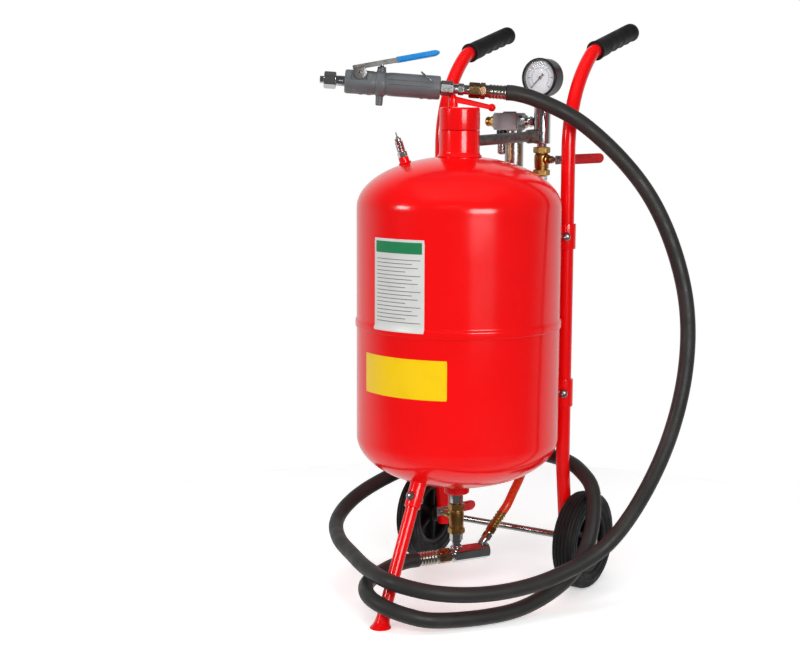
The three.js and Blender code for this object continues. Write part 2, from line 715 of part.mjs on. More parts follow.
// ---------------------------------------------------------------- hand gun
// Drawn along +X with +Z up, then carried to its place over the lid.
const gunLevel = heading(GUN_AZ);
const gunX = gunLevel.clone().multiplyScalar(Math.cos(GUN_DROOP * DEG)).setZ(-Math.sin(GUN_DROOP * DEG));
const gunZ = gunLevel.clone().multiplyScalar(Math.sin(GUN_DROOP * DEG)).setZ(Math.cos(GUN_DROOP * DEG));
const GUN = new THREE.Matrix4().makeBasis(gunX, gunZ.clone().cross(gunX), gunZ).setPosition(0, 0, GUN_Z);
const S = V(1, 0, 0);
const ACROSS = V(0, 1, 0);
const onGun = (geometry) => geometry.applyMatrix4(GUN);
const gunPoint = (s) => V(s, 0, 0).applyMatrix4(GUN);
const PIVOT = V(-175, 0, 17);

function gunBody() {
  const barrel = turned([[0, 0], [GUN_R, 0], [GUN_R, 166.2], [0, 166.2]], V(-200.6, 0, 0), S, 20);
  const collar = rod(V(-147, 0, 0), V(-129.6, 0, 0), 22, 20);
  const peg = rod(V(-139, 0, -10), V(-139, 0, -38), 6, 12);
  const bore = rod(V(-210, 0, 0), V(-20, 0, 0), 6.5, 20);
  const pockets = [box([-190, 12.5, 4], [-162, 30, 30]), box([-190, -30, 4], [-162, -12.5, 30])];
  const pin = rod(PIVOT.clone().setY(-30), PIVOT.clone().setY(30), 2.5, 14);
  const guide = rod(V(-138, 0, 0), V(-138, 0, 40), 4.4, 12);
  const eyes = rod(V(-49, -30, 9.7), V(-49, 30, 9.7), 1.4, 8);
  return onGun(cut(join(barrel, collar, peg), bore, ...pockets, pin, guide, eyes));
}

function gunAdapter() {
  const hex = rod(V(-34.1, 0, 0), V(-12, 0, 0), hexR(23), 6);
  const neck = rod(V(-13, 0, 0), V(-4.3, 0, 0), 8.5, 12);
  return onGun(join(hex, neck));
}

function gunNozzle() {
  const neck = rod(V(-217, 0, 0), V(-200.9, 0, 0), 9, 14);
  const nut = turned([[0, 0], [11, 0], [13, 2], [13, 19], [11, 21.3], [0, 21.3]], V(-237, 0, 0), S, 6);
  const tip = rod(V(-244, 0, 0), V(-236, 0, 0), 6.5, 12);
  return onGun(cut(join(neck, nut, tip), rod(V(-250, 0, 0), V(-195, 0, 0), 3.6, 12)));
}

// A channel lever: two cheeks on the pin, a web above them and a sleeved tail.
function gunTrigger() {
  const tilt = 14.07;
  const along = V(Math.cos(tilt * DEG), 0, Math.sin(tilt * DEG));
  const over = V(-Math.sin(tilt * DEG), 0, Math.cos(tilt * DEG));
  const start = V(-186, 0, 24);
  const flanges = [-1, 1].flatMap((side) => {
    const mid = side * 14.25;
    const outline = [[-2, -4.1], [80, -4.1], [80, 4.1], [-2, 4.1]];
    const strip = plate(outline, 2.5, start.clone().setY(mid), along, over);
    const cheek = rod(PIVOT.clone().setY(mid - 1.25), PIVOT.clone().setY(mid + 1.25), 11.6, 14);
    return [strip, cheek];
  });
  const web = plate([[-2, 1.9], [80, 1.9], [80, 4.1], [-2, 4.1]], 31, start, along, over);
  const outline = [[75, -5], [145, -5], [149, -3], [150.5, 0], [149, 3], [145, 5], [75, 5]];
  const sleeve = plate(outline, 31.6, start, along, over);
  const hole = rod(PIVOT.clone().setY(-30), PIVOT.clone().setY(30), 2.52, 14);
  return onGun(cut(join(web, ...flanges, sleeve), hole));
}

function triggerPin() {
  return onGun(rod(PIVOT.clone().setY(-16), PIVOT.clone().setY(16), 2.4, 14));
}

function triggerPlunger() {
  const profile = [[0, 0], [4.2, 0], [4.2, 21.5], [3, 23], [3, 28.8], [0, 28.8]];
  return onGun(turned(profile, V(-138, 0, 7.8), V(0, 0, 1), 12));
}

// A bent wire: two feet in the gun's sides and a bar across the top.
function gunLatch() {
  const foot = V(-49, 0, 9.7);
  const top = V(-69, 0, 24.6);
  const wire = [
    foot.clone().setY(-17),
    foot.clone().setY(-22.4),
    top.clone().setY(-22.4),
    top.clone().setY(22.4),
    foot.clone().setY(22.4),
    foot.clone().setY(17),
  ];
  const [a, b, c, d, e, f] = wire;
  const joint = (p) => new THREE.SphereGeometry(1.2, 6, 4).translate(p.x, p.y, p.z);
  const bars = [[a, b], [b, c], [c, d], [d, e], [e, f]].map(([p, q]) => rod(p, q, 1.2, 6));
  return onGun(join(...bars, ...[b, c, d, e].map(joint)));
}

// Swivel nut, hexagon and lock nut that join the gun to the hose's ferrule.
function upperHoseNut() {
  const small = rod(V(-4, 0, 0), V(6.5, 0, 0), hexR(18), 6);
  const neck = rod(V(6, 0, 0), V(16, 0, 0), 8.5, 12);
  const hex = rod(V(15, 0, 0), V(35, 0, 0), hexR(24), 6);
  const lock = rod(V(34, 0, 0), V(44.2, 0, 0), 12.6, 14);
  return onGun(join(small, neck, hex, lock));
}

function upperFerrule() {
  const profile = [[0, 0], [11, 0], [11, 5], [12.5, 7], [12.5, 35.5], [0, 35.5]];
  return onGun(turned(profile, V(44.5, 0, 0), S, 16));
}

// ---------------------------------------------------------------- the assembly
part("tank_lower_shell", lowerShell(), "red");
part("tank_upper_shell", upperShell(), "red");
part("outlet_pad", outletPad(), "red");
part("filler_neck", fillerNeck(), "red");
part("filler_lid", fillerLid(), "red");
part("lid_gasket", lidGasket(), "seal");
part("lid_lever", lidLever(), "red");
part("relief_stub", reliefStub(), "red");
part("relief_body", reliefBody(), "chrome");
part("relief_stem", reliefStem(), "zinc");

for (const [side, x] of [["left", -1], ["right", 1]]) {
  part("handle_tube_" + side, handleTube(x * TUBE_X), "red");
  part("grip_" + side, grip(x * TUBE_X), "blackGrip");
  part("bracket_lower_" + side, bracket(x * TUBE_X, 337, 387), "red");
  part("bracket_upper_" + side, bracket(x * TUBE_X, 623.6, 668.5), "red");
  part("tyre_" + side, tyre(x * WHEEL_X), "tyre");
  part("wheel_hub_" + side, wheelHub(x * WHEEL_X), "hubPlastic");
}
part("axle", axle(), "zinc");
part("leg_socket", legSocket(), "red");
part("leg", leg(), "red");
part("leg_bolt", legBolt(), "zinc");

part("outlet_nipple", outletNipple(), "chrome");
part("outlet_valve_body", valveBody(OUTLET), "brass");
part("outlet_valve_ball", valveBall(OUTLET), "chrome");
part("outlet_valve_lever", valveLever(OUTLET, heading(83), 98, 30, 3), "red");
part("lower_nipple", lowerNipple(), "chrome");
part("mixing_block", mixingBlock(), "chrome");
part("air_nipple", airNipple(), "chrome");
part("air_barb", airBarb(), "brass");
part("air_hose", hose(airLine, AIR_R, 26), "orange");
part("hose_nut_lower", lowerHoseNut(), "passivated");
part("hose_ferrule_lower", lowerFerrule(), "passivated");

part("inlet_barb", inletBarb(), "chrome");
part("inlet_valve_body", valveBody(INLET), "brass");
part("inlet_valve_ball", valveBall(INLET), "chrome");
part("inlet_valve_lever", valveLever(INLET, heading(78), 124, 35, -0.5), "red");
part("manifold_post", manifoldPost(), "chrome");
part("manifold_pipe", manifoldPipe(), "galvanised");
part("filter_head", filterHead(), "filterGrey");
part("filter_bowl", filterBowl(), "zinc");
part("inlet_coupler", inletCoupler(), "brass");
part("gauge_case", gaugeCase(), "caseBlack");
part("gauge_dial", gaugeDial(), "dialWhite");
part("gauge_needle", gaugeNeedle(), "caseBlack");
part("gauge_glass", gaugeGlass(), "glass");

part("gun_body", gunBody(), "gunGrey");
part("gun_adapter", gunAdapter(), "zinc");
part("gun_nozzle", gunNozzle(), "chrome");
part("gun_trigger", gunTrigger(), "blue");
part("trigger_pin", triggerPin(), "zinc");
part("trigger_plunger", triggerPlunger(), "zinc");
part("gun_latch", gunLatch(), "zinc");
part("hose_nut_upper", upperHoseNut(), "brass");
part("hose_ferrule_upper", upperFerrule(), "passivated");
const hoseLine = [blockPoint(-80.4), blockPoint(-99), ...HOSE_ROUTE, gunPoint(93), gunPoint(80.5)];
part("blast_hose", hose(hoseLine, HOSE_R, 60), "hose");

// The frame's origin: the centre of the base, measured without the two hoses.
const base = new THREE.Box3();
for (const mesh of group.children)
  if (!mesh.name.endsWith("_hose")) base.expandByObject(mesh);
group.position.set(-(base.min.x + base.max.x) / 2, -(base.min.y + base.max.y) / 2, -base.min.z);

export default group;
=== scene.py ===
"""Looks for the portable blast tank on its trolley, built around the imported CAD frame.

Lengths are millimetres from the tank's axis and the floor, as in the CAD source, until a piece is
made: place() turns them into metres in the row frame. Hose routes are in metres.
"""

import json
import math

import bmesh
import bpy
from mathutils import Matrix, Vector


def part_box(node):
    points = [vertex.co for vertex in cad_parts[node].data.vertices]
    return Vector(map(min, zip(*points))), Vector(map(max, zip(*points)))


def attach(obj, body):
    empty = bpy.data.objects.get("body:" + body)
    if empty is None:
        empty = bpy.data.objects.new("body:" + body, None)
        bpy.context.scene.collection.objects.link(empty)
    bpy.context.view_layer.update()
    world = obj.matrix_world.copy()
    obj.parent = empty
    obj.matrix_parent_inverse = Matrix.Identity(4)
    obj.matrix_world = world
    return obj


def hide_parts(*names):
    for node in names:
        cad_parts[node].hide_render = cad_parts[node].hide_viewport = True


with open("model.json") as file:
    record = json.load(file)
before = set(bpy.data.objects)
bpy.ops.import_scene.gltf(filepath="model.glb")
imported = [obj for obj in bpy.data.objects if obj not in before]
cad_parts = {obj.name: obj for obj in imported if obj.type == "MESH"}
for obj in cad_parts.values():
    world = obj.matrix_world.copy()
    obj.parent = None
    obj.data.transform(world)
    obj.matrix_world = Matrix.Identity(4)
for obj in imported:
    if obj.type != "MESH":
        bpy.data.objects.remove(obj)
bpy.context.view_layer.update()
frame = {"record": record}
RECORD = frame["record"]
BODY_OF = {n: b for b, nodes in RECORD["behaviour"]["bodies"].items() for n in nodes}
ROOT = BODY_OF["tank_upper_shell"]

MM = 0.001
UP = Vector((0, 0, 1))
_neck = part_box("filler_neck")
AXIS = Vector(((_neck[0].x + _neck[1].x) / 2, (_neck[0].y + _neck[1].y) / 2, 0))


def place(point):
    """A point in tank millimetres, in the row frame."""
    return AXIS + Vector(point) * MM


def extent(node):
    """A CAD node's lowest and highest corners in tank millimetres."""
    low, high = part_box(node)
    return (low - AXIS) / MM, (high - AXIS) / MM


def middle(node):
    low, high = extent(node)
    return (low + high) / 2


def heading(degrees):
    return Vector((math.cos(math.radians(degrees)), math.sin(math.radians(degrees)), 0))


# ---------------------------------------------------------------- dimensions, as in the CAD source
TANK_R = 180
HEAD = 90
LOW_TANGENT = 294
TOP_TANGENT = 700
SEAM = 497
NECK_R = 35.25
RELIEF_R = 95
RELIEF_AZ = 214.3
RELIEF_LEAN = 17.26
TUBE_X = 134
TUBE_Y = 150
TUBE_R = 12.5
GRIP_L = 160
AXLE_Y = 167
AXLE_R = 6.35
WHEEL_R = 88.4
GRIP_LEAN = 75
LEG_FOOT_Y = -240
LEG_SLOPE = 26.85
POST = (70, 168)
BLOCK_Z = 72
BLOCK_AZ = 62
BLOCK_AF = 27
HOSE_D = 0.027
AIR_D = 0.0164
GUN_AZ = 34.31
GUN_DROOP = 3.86
GUN_Z = 904.9
GUN_R = 20.6
GUN_PIN = (-175, 17)
TRIGGER_TILT = 14.07

BLOCK_DIR = heading(BLOCK_AZ)
GUN_DIR = heading(GUN_AZ) * math.cos(math.radians(GUN_DROOP)) - UP * math.sin(math.radians(GUN_DROOP))
GUN_UP = heading(GUN_AZ) * math.sin(math.radians(GUN_DROOP)) + UP * math.cos(math.radians(GUN_DROOP))
GUN_SIDE = GUN_UP.cross(GUN_DIR)


def block_point(s, z=BLOCK_Z):
    return BLOCK_DIR * s + UP * z


def gun_point(s, across=0.0, up=0.0):
    return UP * GUN_Z + GUN_DIR * s + GUN_SIDE * across + GUN_UP * up


AIR_DIR = BLOCK_DIR * math.cos(math.radians(51)) + UP * math.sin(math.radians(51))
AIR_ROOT = block_point(54, BLOCK_Z + BLOCK_AF / 2)


# ---------------------------------------------------------------- camera
def make_camera():
    """The photograph's viewpoint: 34.3 degrees round to the right, looking 8.3 degrees down."""
    turn, down, roll = math.radians(34.33), math.radians(8.28), math.radians(0.18)
    forward = Vector((-math.sin(turn) * math.cos(down), math.cos(turn) * math.cos(down), -math.sin(down)))
    level = Vector((math.cos(turn), math.sin(turn), 0))
    upright = level.cross(forward)
    right = level * math.cos(roll) + upright * math.sin(roll)
    top = upright * math.cos(roll) - level * math.sin(roll)
    data = bpy.data.cameras.new("camera")
    data.sensor_width = 36
    data.lens = 70.8
    data.clip_start = 0.05
    data.clip_end = 60
    camera = bpy.data.objects.new("camera", data)
    bpy.context.scene.collection.objects.link(camera)
    basis = Matrix((right, top, -forward)).transposed().to_4x4()
    camera.matrix_world = Matrix.Translation(place((1475.0, -2342.6, 879.3))) @ basis
    bpy.context.scene.camera = camera


make_camera()


# ---------------------------------------------------------------- shapes: lists of points and faces
def aimed(at, axis):
    """A matrix at a point, with +Z along the axis and +X as near upright as it can be."""
    w = Vector(axis).normalized()
    hint = Vector((0, 1, 0)) if abs(w.z) > 0.99 else UP
    u = (hint - w * w.dot(hint)).normalized()
    return Matrix.Translation(Vector(at)) @ Matrix((u, w.cross(u), w)).transposed().to_4x4()


def soften(profile, radius=0.6, steps=3, closed=False):
    """Rounds the corners of a profile; a corner on the axis stays."""
    made = []
    count = len(profile)
    for i, p in enumerate(profile):
        before = profile[i - 1]
        after = profile[(i + 1) % count]
        if (not closed and i in (0, count - 1)) or abs(p[0]) < 1e-6:
            made.append(tuple(p))
            continue
        a, b, c = Vector(before), Vector(p), Vector(after)
        back, on = a - b, c - b
        reach = min(radius, back.length * 0.45, on.length * 0.45)
        start = b + back.normalized() * reach
        end = b + on.normalized() * reach
        for k in range(steps + 1):
            t = k / steps
            q = start * (1 - t) ** 2 + b * 2 * t * (1 - t) + end * t * t
            made.append((q.x, q.y))
    return made


def revolve(profile, at=(0, 0, 0), axis=UP, sides=48, closed=False, radius_of=None):
    """A solid of revolution from [radius, distance along the axis]. radius_of(angle, r, h) may reshape it."""
    matrix = aimed(at, axis)
    points, rows = [], []
    for r, h in profile:
        if abs(r) < 1e-6:
            points.append(matrix @ Vector((0, 0, h)))
            rows.append([len(points) - 1] * sides)
            continue
        row = []
        for k in range(sides):
            a = 2 * math.pi * k / sides
            reach = radius_of(a, r, h) if radius_of else r
            points.append(matrix @ Vector((reach * math.cos(a), reach * math.sin(a), h)))
            row.append(len(points) - 1)
        rows.append(row)
    if closed:
        rows.append(rows[0])
    faces = []
    for low, high in zip(rows, rows[1:]):
        for k in range(sides):
            corners = [low[k], low[(k + 1) % sides], high[(k + 1) % sides], high[k]]
            kept = [c for i, c in enumerate(corners) if c not in corners[:i]]
            if len(kept) > 2:
                faces.append(kept)
    return points, faces


def square(inner, outer, low, high):
    """The profile of a plain ring, or of a disc if inner is 0; also a rectangle for a plate."""
    return [(inner, low), (outer, low), (outer, high), (inner, high)]


def turned(profile, at=(0, 0, 0), axis=UP, sides=48, soft=0.6, steps=3, closed=False):
    """A solid of revolution with the corners of its profile rounded."""
    return revolve(soften(profile, soft, steps, closed), at, axis, sides, closed)


def rod(start, end, radius, sides=32, round_off=0.5):
    start, end = Vector(start), Vector(end)
    length = (end - start).length
    return turned(square(0, radius, 0, length), start, end - start, sides, round_off)


def hexagon(across, h0, h1, at, axis):
    """A hexagon bar or nut, its corners chamfered to a cone at either end."""
    flat = across / 2
    corner = flat / math.cos(math.radians(30))
    face = flat * 0.96
    rise = (corner - face) * math.tan(math.radians(30))
    steps = [0, 0.25, 0.5, 0.75, 1]
    bottom = [(face + t * (corner - face), h0 + t * rise) for t in steps]
    top = [(corner - t * (corner - face), h1 - rise + t * rise) for t in steps]

    def shape(angle, r, _h):
        inside = (math.degrees(angle) % 60) - 30
        return min(flat / math.cos(math.radians(inside)), r, corner * 0.99)

    return revolve([(0, h0), *bottom, *top, (0, h1)], at, axis, 72, radius_of=shape)


def ball(centre, radius, sides=24, rows=12):
    turns = [math.pi * i / rows for i in range(rows + 1)]
    profile = [(radius * math.sin(a), -radius * math.cos(a)) for a in turns]
    profile[0] = (0, -radius)
    profile[-1] = (0, radius)
    return revolve(profile, centre, UP, sides)


def smooth_line(points, per_span=12):
    """A centripetal Catmull-Rom curve through the points."""
    p = [Vector(q) for q in points]
    p = [p[0] * 2 - p[1], *p, p[-1] * 2 - p[-2]]
    made = []
    for i in range(1, len(p) - 2):
        p0, p1, p2, p3 = p[i - 1 : i + 3]
        t0 = max((p1 - p0).length ** 0.5, 1e-4)
        t1 = max((p2 - p1).length ** 0.5, 1e-4)
        t2 = max((p3 - p2).length ** 0.5, 1e-4)
        m1 = ((p1 - p0) / t0 - (p2 - p0) / (t0 + t1) + (p2 - p1) / t1) * t1
        m2 = ((p2 - p1) / t1 - (p3 - p1) / (t1 + t2) + (p3 - p2) / t2) * t1
        for k in range(per_span):
            s = k / per_span
            a = 2 * s**3 - 3 * s**2 + 1
            b = s**3 - 2 * s**2 + s
            c = -2 * s**3 + 3 * s**2
            d = s**3 - s**2
            made.append(p1 * a + m1 * b + p2 * c + m2 * d)
    made.append(p[-2])
    return made


def sweep(line, radius, sides=24, closed=False, bore=None):
    """A round bar along a line of points, or a pipe with a bore.

    radius may be a function of (length, angle).
    """
    line = [Vector(p) for p in line]
    count = len(line)
    size = radius if callable(radius) else (lambda _s, _a: radius)
    points, rows = [], []
    side = None
    length = 0.0
    frames = []
    for i, p in enumerate(line):
        if closed:
            along = (line[(i + 1) % count] - line[i - 1]).normalized()
        else:
            along = (line[min(i + 1, count - 1)] - line[max(i - 1, 0)]).normalized()
        if side is None:
            side = along.orthogonal() if abs(along.z) < 0.9 else along.cross(Vector((0, 1, 0)))
        side = (side - along * along.dot(side)).normalized()
        if i:
            length += (p - line[i - 1]).length
        frames.append((p, side.copy(), along.cross(side), length))

    def loop(at, u, v, s, reach):
        row = []
        for k in range(sides):
            a = 2 * math.pi * k / sides
            r = reach(s, a)
            points.append(at + u * (r * math.cos(a)) + v * (r * math.sin(a)))
            row.append(len(points) - 1)
        return row

    for at, u, v, s in frames:
        rows.append(loop(at, u, v, s, size))
    if bore:
        for at, u, v, s in reversed(frames):
            rows.append(loop(at, u, v, s, lambda _s, _a: bore))
    if closed or bore:
        rows.append(rows[0])
    faces = []
    for low, high in zip(rows, rows[1:]):
        for k in range(sides):
            n = (k + 1) % sides
            faces.append([low[k], low[n], high[n], high[k]])
    if not (closed or bore):
        faces.append(list(reversed(rows[0])))
        faces.append(rows[-1])
    return points, faces


def plate(outline, thickness, at, across, up, edge=0.6, segments=2, round_corner=0.0):
    """A plate drawn in the plane of two directions and centred on it, with rounded edges."""
    across, up = Vector(across).normalized(), Vector(up).normalized()
    normal = across.cross(up)
    at = Vector(at)
    mesh = bmesh.new()
    corners = soften(outline, round_corner, 4, closed=True) if round_corner else outline
    base = [mesh.verts.new(at + across * x + up * y - normal * thickness / 2) for x, y in corners]
    face = mesh.faces.new(base)
    grown = bmesh.ops.extrude_face_region(mesh, geom=[face])
    moved = [g for g in grown["geom"] if isinstance(g, bmesh.types.BMVert)]
    bmesh.ops.translate(mesh, vec=normal * thickness, verts=moved)
    if edge:
        rims = [e for e in mesh.edges if e.calc_face_angle(0) > math.radians(40)]
        bmesh.ops.bevel(mesh, geom=rims, offset=edge, segments=segments, affect="EDGES", clamp_overlap=True)
    mesh.verts.index_update()
    made = [v.co.copy() for v in mesh.verts], [[v.index for v in f.verts] for f in mesh.faces]
    mesh.free()
    return made


def block(low, high, edge=1.0):
    """A box with rounded edges, between two corners."""
    low, high = Vector(low), Vector(high)
    size, mid = high - low, (low + high) / 2
    x, y = size.x / 2, size.y / 2
    outline = square(-x, x, -y, y)
    return plate(outline, size.z, mid, (1, 0, 0), (0, 1, 0), edge)


def bead(line, radius, closed=True):
    """A weld bead: a rope with the small ripples of each puddle."""
    return sweep(line, lambda s, _a: radius * (0.92 + 0.14 * math.sin(s * 2.1)), 10, closed)


def circle(centre, axis, radius, count=72):
    matrix = aimed(centre, axis)
    turns = [2 * math.pi * k / count for k in range(count)]
    return [matrix @ Vector((radius * math.cos(a), radius * math.sin(a), 0)) for a in turns]


def cut(shape, *tools):
    """Exact boolean difference, for the few pieces that need one."""
    target = raw_object("cut_target", shape)
    for tool in tools:
        cutter = raw_object("cut_tool", tool)
        step = target.modifiers.new("cut", "BOOLEAN")
        step.operation = "DIFFERENCE"
        step.solver = "EXACT"
        step.object = cutter
        graph = bpy.context.evaluated_depsgraph_get()
        mesh = bpy.data.meshes.new_from_object(target.evaluated_get(graph))
        target.modifiers.clear()
        target.data = mesh
        bpy.data.objects.remove(cutter)
    made = [v.co.copy() for v in target.data.vertices], [list(f.vertices) for f in target.data.polygons]
    bpy.data.objects.remove(target)
    return made


def raw_object(name, shape):
    mesh = bpy.data.meshes.new(name)
    mesh.from_pydata([tuple(p) for p in shape[0]], [], shape[1])
    mesh.validate()
    work = bmesh.new()
    work.from_mesh(mesh)
    bmesh.ops.remove_doubles(work, verts=work.verts, dist=1e-4)
    bmesh.ops.recalc_face_normals(work, faces=work.faces)
    work.to_mesh(mesh)
    work.free()
    made = bpy.data.objects.new(name, mesh)
    bpy.context.scene.collection.objects.link(made)
    return made


def piece(name, shapes, material, body, nodes=(), crease=32):
    """Makes one visible piece of the shapes; it rides on a body and may stand for CAD nodes."""
    points, faces = [], []
    for more, linked in shapes if isinstance(shapes, list) else [shapes]:
        start = len(points)
        points += [place(p) for p in more]
        faces += [[i + start for i in f] for f in linked]
    mesh = bpy.data.meshes.new(name)
    mesh.from_pydata([tuple(p) for p in points], [], faces)
    mesh.validate()
    work = bmesh.new()
    work.from_mesh(mesh)
    bmesh.ops.remove_doubles(work, verts=work.verts, dist=1e-6)
    bmesh.ops.recalc_face_normals(work, faces=work.faces)
    work.to_mesh(mesh)
    work.free()
    mesh.shade_smooth()
    mesh.set_sharp_from_angle(angle=math.radians(crease))
    mesh.materials.append(material)
    made = bpy.data.objects.new(name, mesh)
    bpy.context.scene.collection.objects.link(made)
    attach(made, body)
    if nodes:
        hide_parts(*nodes)
    return made


def stand_in(node, shapes, material, crease=32):
    """The detailed piece that stands for one CAD node."""
    return piece(node + "_look", shapes, material, BODY_OF[node], [node], crease)


# ---------------------------------------------------------------- materials
class Finish:
    """A Principled material whose colour, roughness and relief come from procedural nodes."""

    def __init__(self, name, color, rough, metal=0.0, coat=0.0):
        self.material = bpy.data.materials.new(name)
        self.material.use_nodes = True
        self.nodes = self.material.node_tree.nodes
        self.links = self.material.node_tree.links
        self.shader = next(n for n in self.nodes if n.type == "BSDF_PRINCIPLED")
        self.shader.inputs["Metallic"].default_value = metal
        self.shader.inputs["Coat Weight"].default_value = coat
        self.shader.inputs["Coat Roughness"].default_value = 0.04
        self.color = color
        self.rough = rough
        self.place = self.nodes.new("ShaderNodeTexCoord").outputs["Object"]
        self.height = None

    def noise(self, scale, detail, distortion=0.0):
        node = self.nodes.new("ShaderNodeTexNoise")
        node.inputs["Scale"].default_value = scale
        node.inputs["Detail"].default_value = detail
        node.inputs["Distortion"].default_value = distortion
        self.links.new(self.place, node.inputs["Vector"])
        return node.outputs["Fac"]

    def spread(self, source, low, high, to_low, to_high):
        node = self.nodes.new("ShaderNodeMapRange")
        node.interpolation_type = "SMOOTHSTEP"
        for socket, value in zip(("From Min", "From Max", "To Min", "To Max"), (low, high, to_low, to_high)):
            node.inputs[socket].default_value = value
        self.links.new(source, node.inputs["Value"])
        return node.outputs["Result"]

    def tint(self, source, other, low=0.35, high=0.75, strength=1.0):
        """Blends the colour towards another where the source is high."""
        mix = self.nodes.new("ShaderNodeMix")
        mix.data_type = "RGBA"
        self.links.new(self.spread(source, low, high, 0.0, strength), mix.inputs["Factor"])
        if isinstance(self.color, tuple):
            mix.inputs["A"].default_value = (*self.color, 1)
        else:
            self.links.new(self.color, mix.inputs["A"])
        mix.inputs["B"].default_value = (*other, 1)
        self.color = mix.outputs["Result"]
        return self

    def polish(self, source, low, high):
        """Roughness runs from low to high with the source."""
        self.rough = self.spread(source, 0.3, 0.7, low, high)
        return self

    def relief(self, source, depth, strength=1.0):
        """Adds a bump of a real depth in metres."""
        node = self.nodes.new("ShaderNodeBump")
        node.inputs["Distance"].default_value = depth
        node.inputs["Strength"].default_value = strength
        self.links.new(source, node.inputs["Height"])
        if self.height:
            self.links.new(self.height, node.inputs["Normal"])
        self.height = node.outputs["Normal"]
        return self

    def done(self):
        if isinstance(self.color, tuple):
            self.shader.inputs["Base Color"].default_value = (*self.color, 1)
        else:
            self.links.new(self.color, self.shader.inputs["Base Color"])
        if isinstance(self.rough, float):
            self.shader.inputs["Roughness"].default_value = self.rough
        else:
            self.links.new(self.rough, self.shader.inputs["Roughness"])
        if self.height:
            self.links.new(self.height, self.shader.inputs["Normal"])
        return self.material


def red_enamel():
    """Gloss powder coat: faint orange peel, slow colour drift, a little dust dulling."""
    color = (0.84, 0.0030, 0.0042)
    f = Finish("red_enamel", color, 0.2)
    f.tint(f.noise(9, 3), tuple(c * 0.95 for c in color), 0.45, 0.75)
    f.polish(f.noise(14, 5), 0.14, 0.19)
    f.relief(f.noise(170, 2), 0.0001, 0.3)
    return f.done()


def soft_red():
    """The dipped sleeves of the two tap levers."""
    f = Finish("red_sleeve", (0.72, 0.006, 0.010), 0.35, coat=0.2)
    f.tint(f.noise(40, 3), (0.58, 0.004, 0.008), 0.45, 0.8)
    f.polish(f.noise(60, 4), 0.25, 0.42)
    f.relief(f.noise(400, 3), 0.00008, 0.4)
    return f.done()


def rubber(name, color, low, high, grain=900, depth=0.00008):
    f = Finish(name, color, high)
    f.tint(f.noise(22, 6), tuple(c * 1.7 for c in color), 0.45, 0.8, 0.7)
    f.polish(f.noise(45, 5), low, high)
    f.relief(f.noise(grain, 4), depth, 0.5)
    return f.done()


def metal(name, color, low, high, dull, grain=500, depth=0.00002):
    """Plated or machined metal with fine grain and duller patches."""
    patches = 30
    f = Finish(name, color, low, metal=1.0)
    f.tint(f.noise(patches, 5), dull, 0.45, 0.8, 0.8)
    f.polish(f.noise(patches * 1.7, 6, distortion=0.4), low, high)
    f.relief(f.noise(grain, 3), depth, 0.5)
    return f.done()


def cast_alloy():
    """Mid-grey cast body of the gun: satin, with the fine skin of a casting."""
    f = Finish("gun_alloy", (0.145, 0.155, 0.163), 0.42, metal=0.2)
    f.tint(f.noise(35, 5), (0.108, 0.117, 0.124), 0.42, 0.75, 0.8)
    f.polish(f.noise(70, 5), 0.36, 0.52)
    f.relief(f.noise(650, 5), 0.00014, 0.6)
    return f.done()


def galvanised():
    """Zinc-dipped pipe with its crystal spangle."""
    f = Finish("galvanised", (0.17, 0.165, 0.16), 0.4, metal=0.8)
    cells = f.nodes.new("ShaderNodeTexVoronoi")
    cells.inputs["Scale"].default_value = 160
    f.links.new(f.place, cells.inputs["Vector"])
    f.tint(cells.outputs["Distance"], (0.26, 0.255, 0.245), 0.1, 0.7, 0.8)
    f.polish(f.noise(80, 4), 0.3, 0.5)
    f.relief(f.noise(300, 4), 0.00006, 0.5)
    return f.done()


def printed(name, color, rough=0.35):
    """Vinyl label film."""
    f = Finish(name, color, rough, coat=0.15)
    f.tint(f.noise(30, 3), tuple(c * 0.93 for c in color), 0.4, 0.8)
    f.polish(f.noise(50, 4), rough - 0.06, rough + 0.08)
    f.relief(f.noise(260, 2), 0.00005, 0.25)
    return f.done()


def clear_glass():
    f = Finish("clear_lens", (0.96, 0.98, 0.98), 0.03)
    f.shader.inputs["Alpha"].default_value = 0.08
    f.polish(f.noise(60, 3), 0.01, 0.05)
    return f.done()


def air_hose_plastic():
    f = Finish("orange_hose", (0.80, 0.055, 0.012), 0.3, coat=0.3)
    f.tint(f.noise(25, 4), (0.66, 0.036, 0.008), 0.4, 0.8)
    f.polish(f.noise(90, 4), 0.2, 0.36)
    f.relief(f.noise(500, 3), 0.00006, 0.4)
    return f.done()


RED = red_enamel()
SLEEVE = soft_red()
GRIP = rubber("grip_rubber", (0.004, 0.004, 0.005), 0.5, 0.68)
TYRE = rubber("tyre_rubber", (0.0075, 0.0068, 0.0068), 0.55, 0.78, 700, 0.00012)
HUB = rubber("hub_plastic", (0.008, 0.008, 0.009), 0.42, 0.58, 400, 0.00006)
HOSE = rubber("hose_rubber", (0.022, 0.021, 0.020), 0.42, 0.58, 800, 0.00010)
SEAL = rubber("seal_rubber", (0.02, 0.018, 0.017), 0.55, 0.75)
BLACK = rubber("case_enamel", (0.003, 0.003, 0.004), 0.28, 0.4, 500, 0.00004)
CHROME = metal("chrome", (0.62, 0.63, 0.64), 0.10, 0.20, (0.48, 0.49, 0.50))
ZINC = metal("zinc", (0.48, 0.48, 0.48), 0.24, 0.38, (0.36, 0.36, 0.35))
STEEL = metal("bright_steel", (0.46, 0.45, 0.43), 0.18, 0.32, (0.34, 0.32, 0.30))
BRASS = metal("brass", (0.50, 0.31, 0.10), 0.28, 0.42, (0.32, 0.18, 0.055))
DARK_BRASS = metal("dark_brass", (0.34, 0.21, 0.10), 0.16, 0.30, (0.20, 0.12, 0.06))
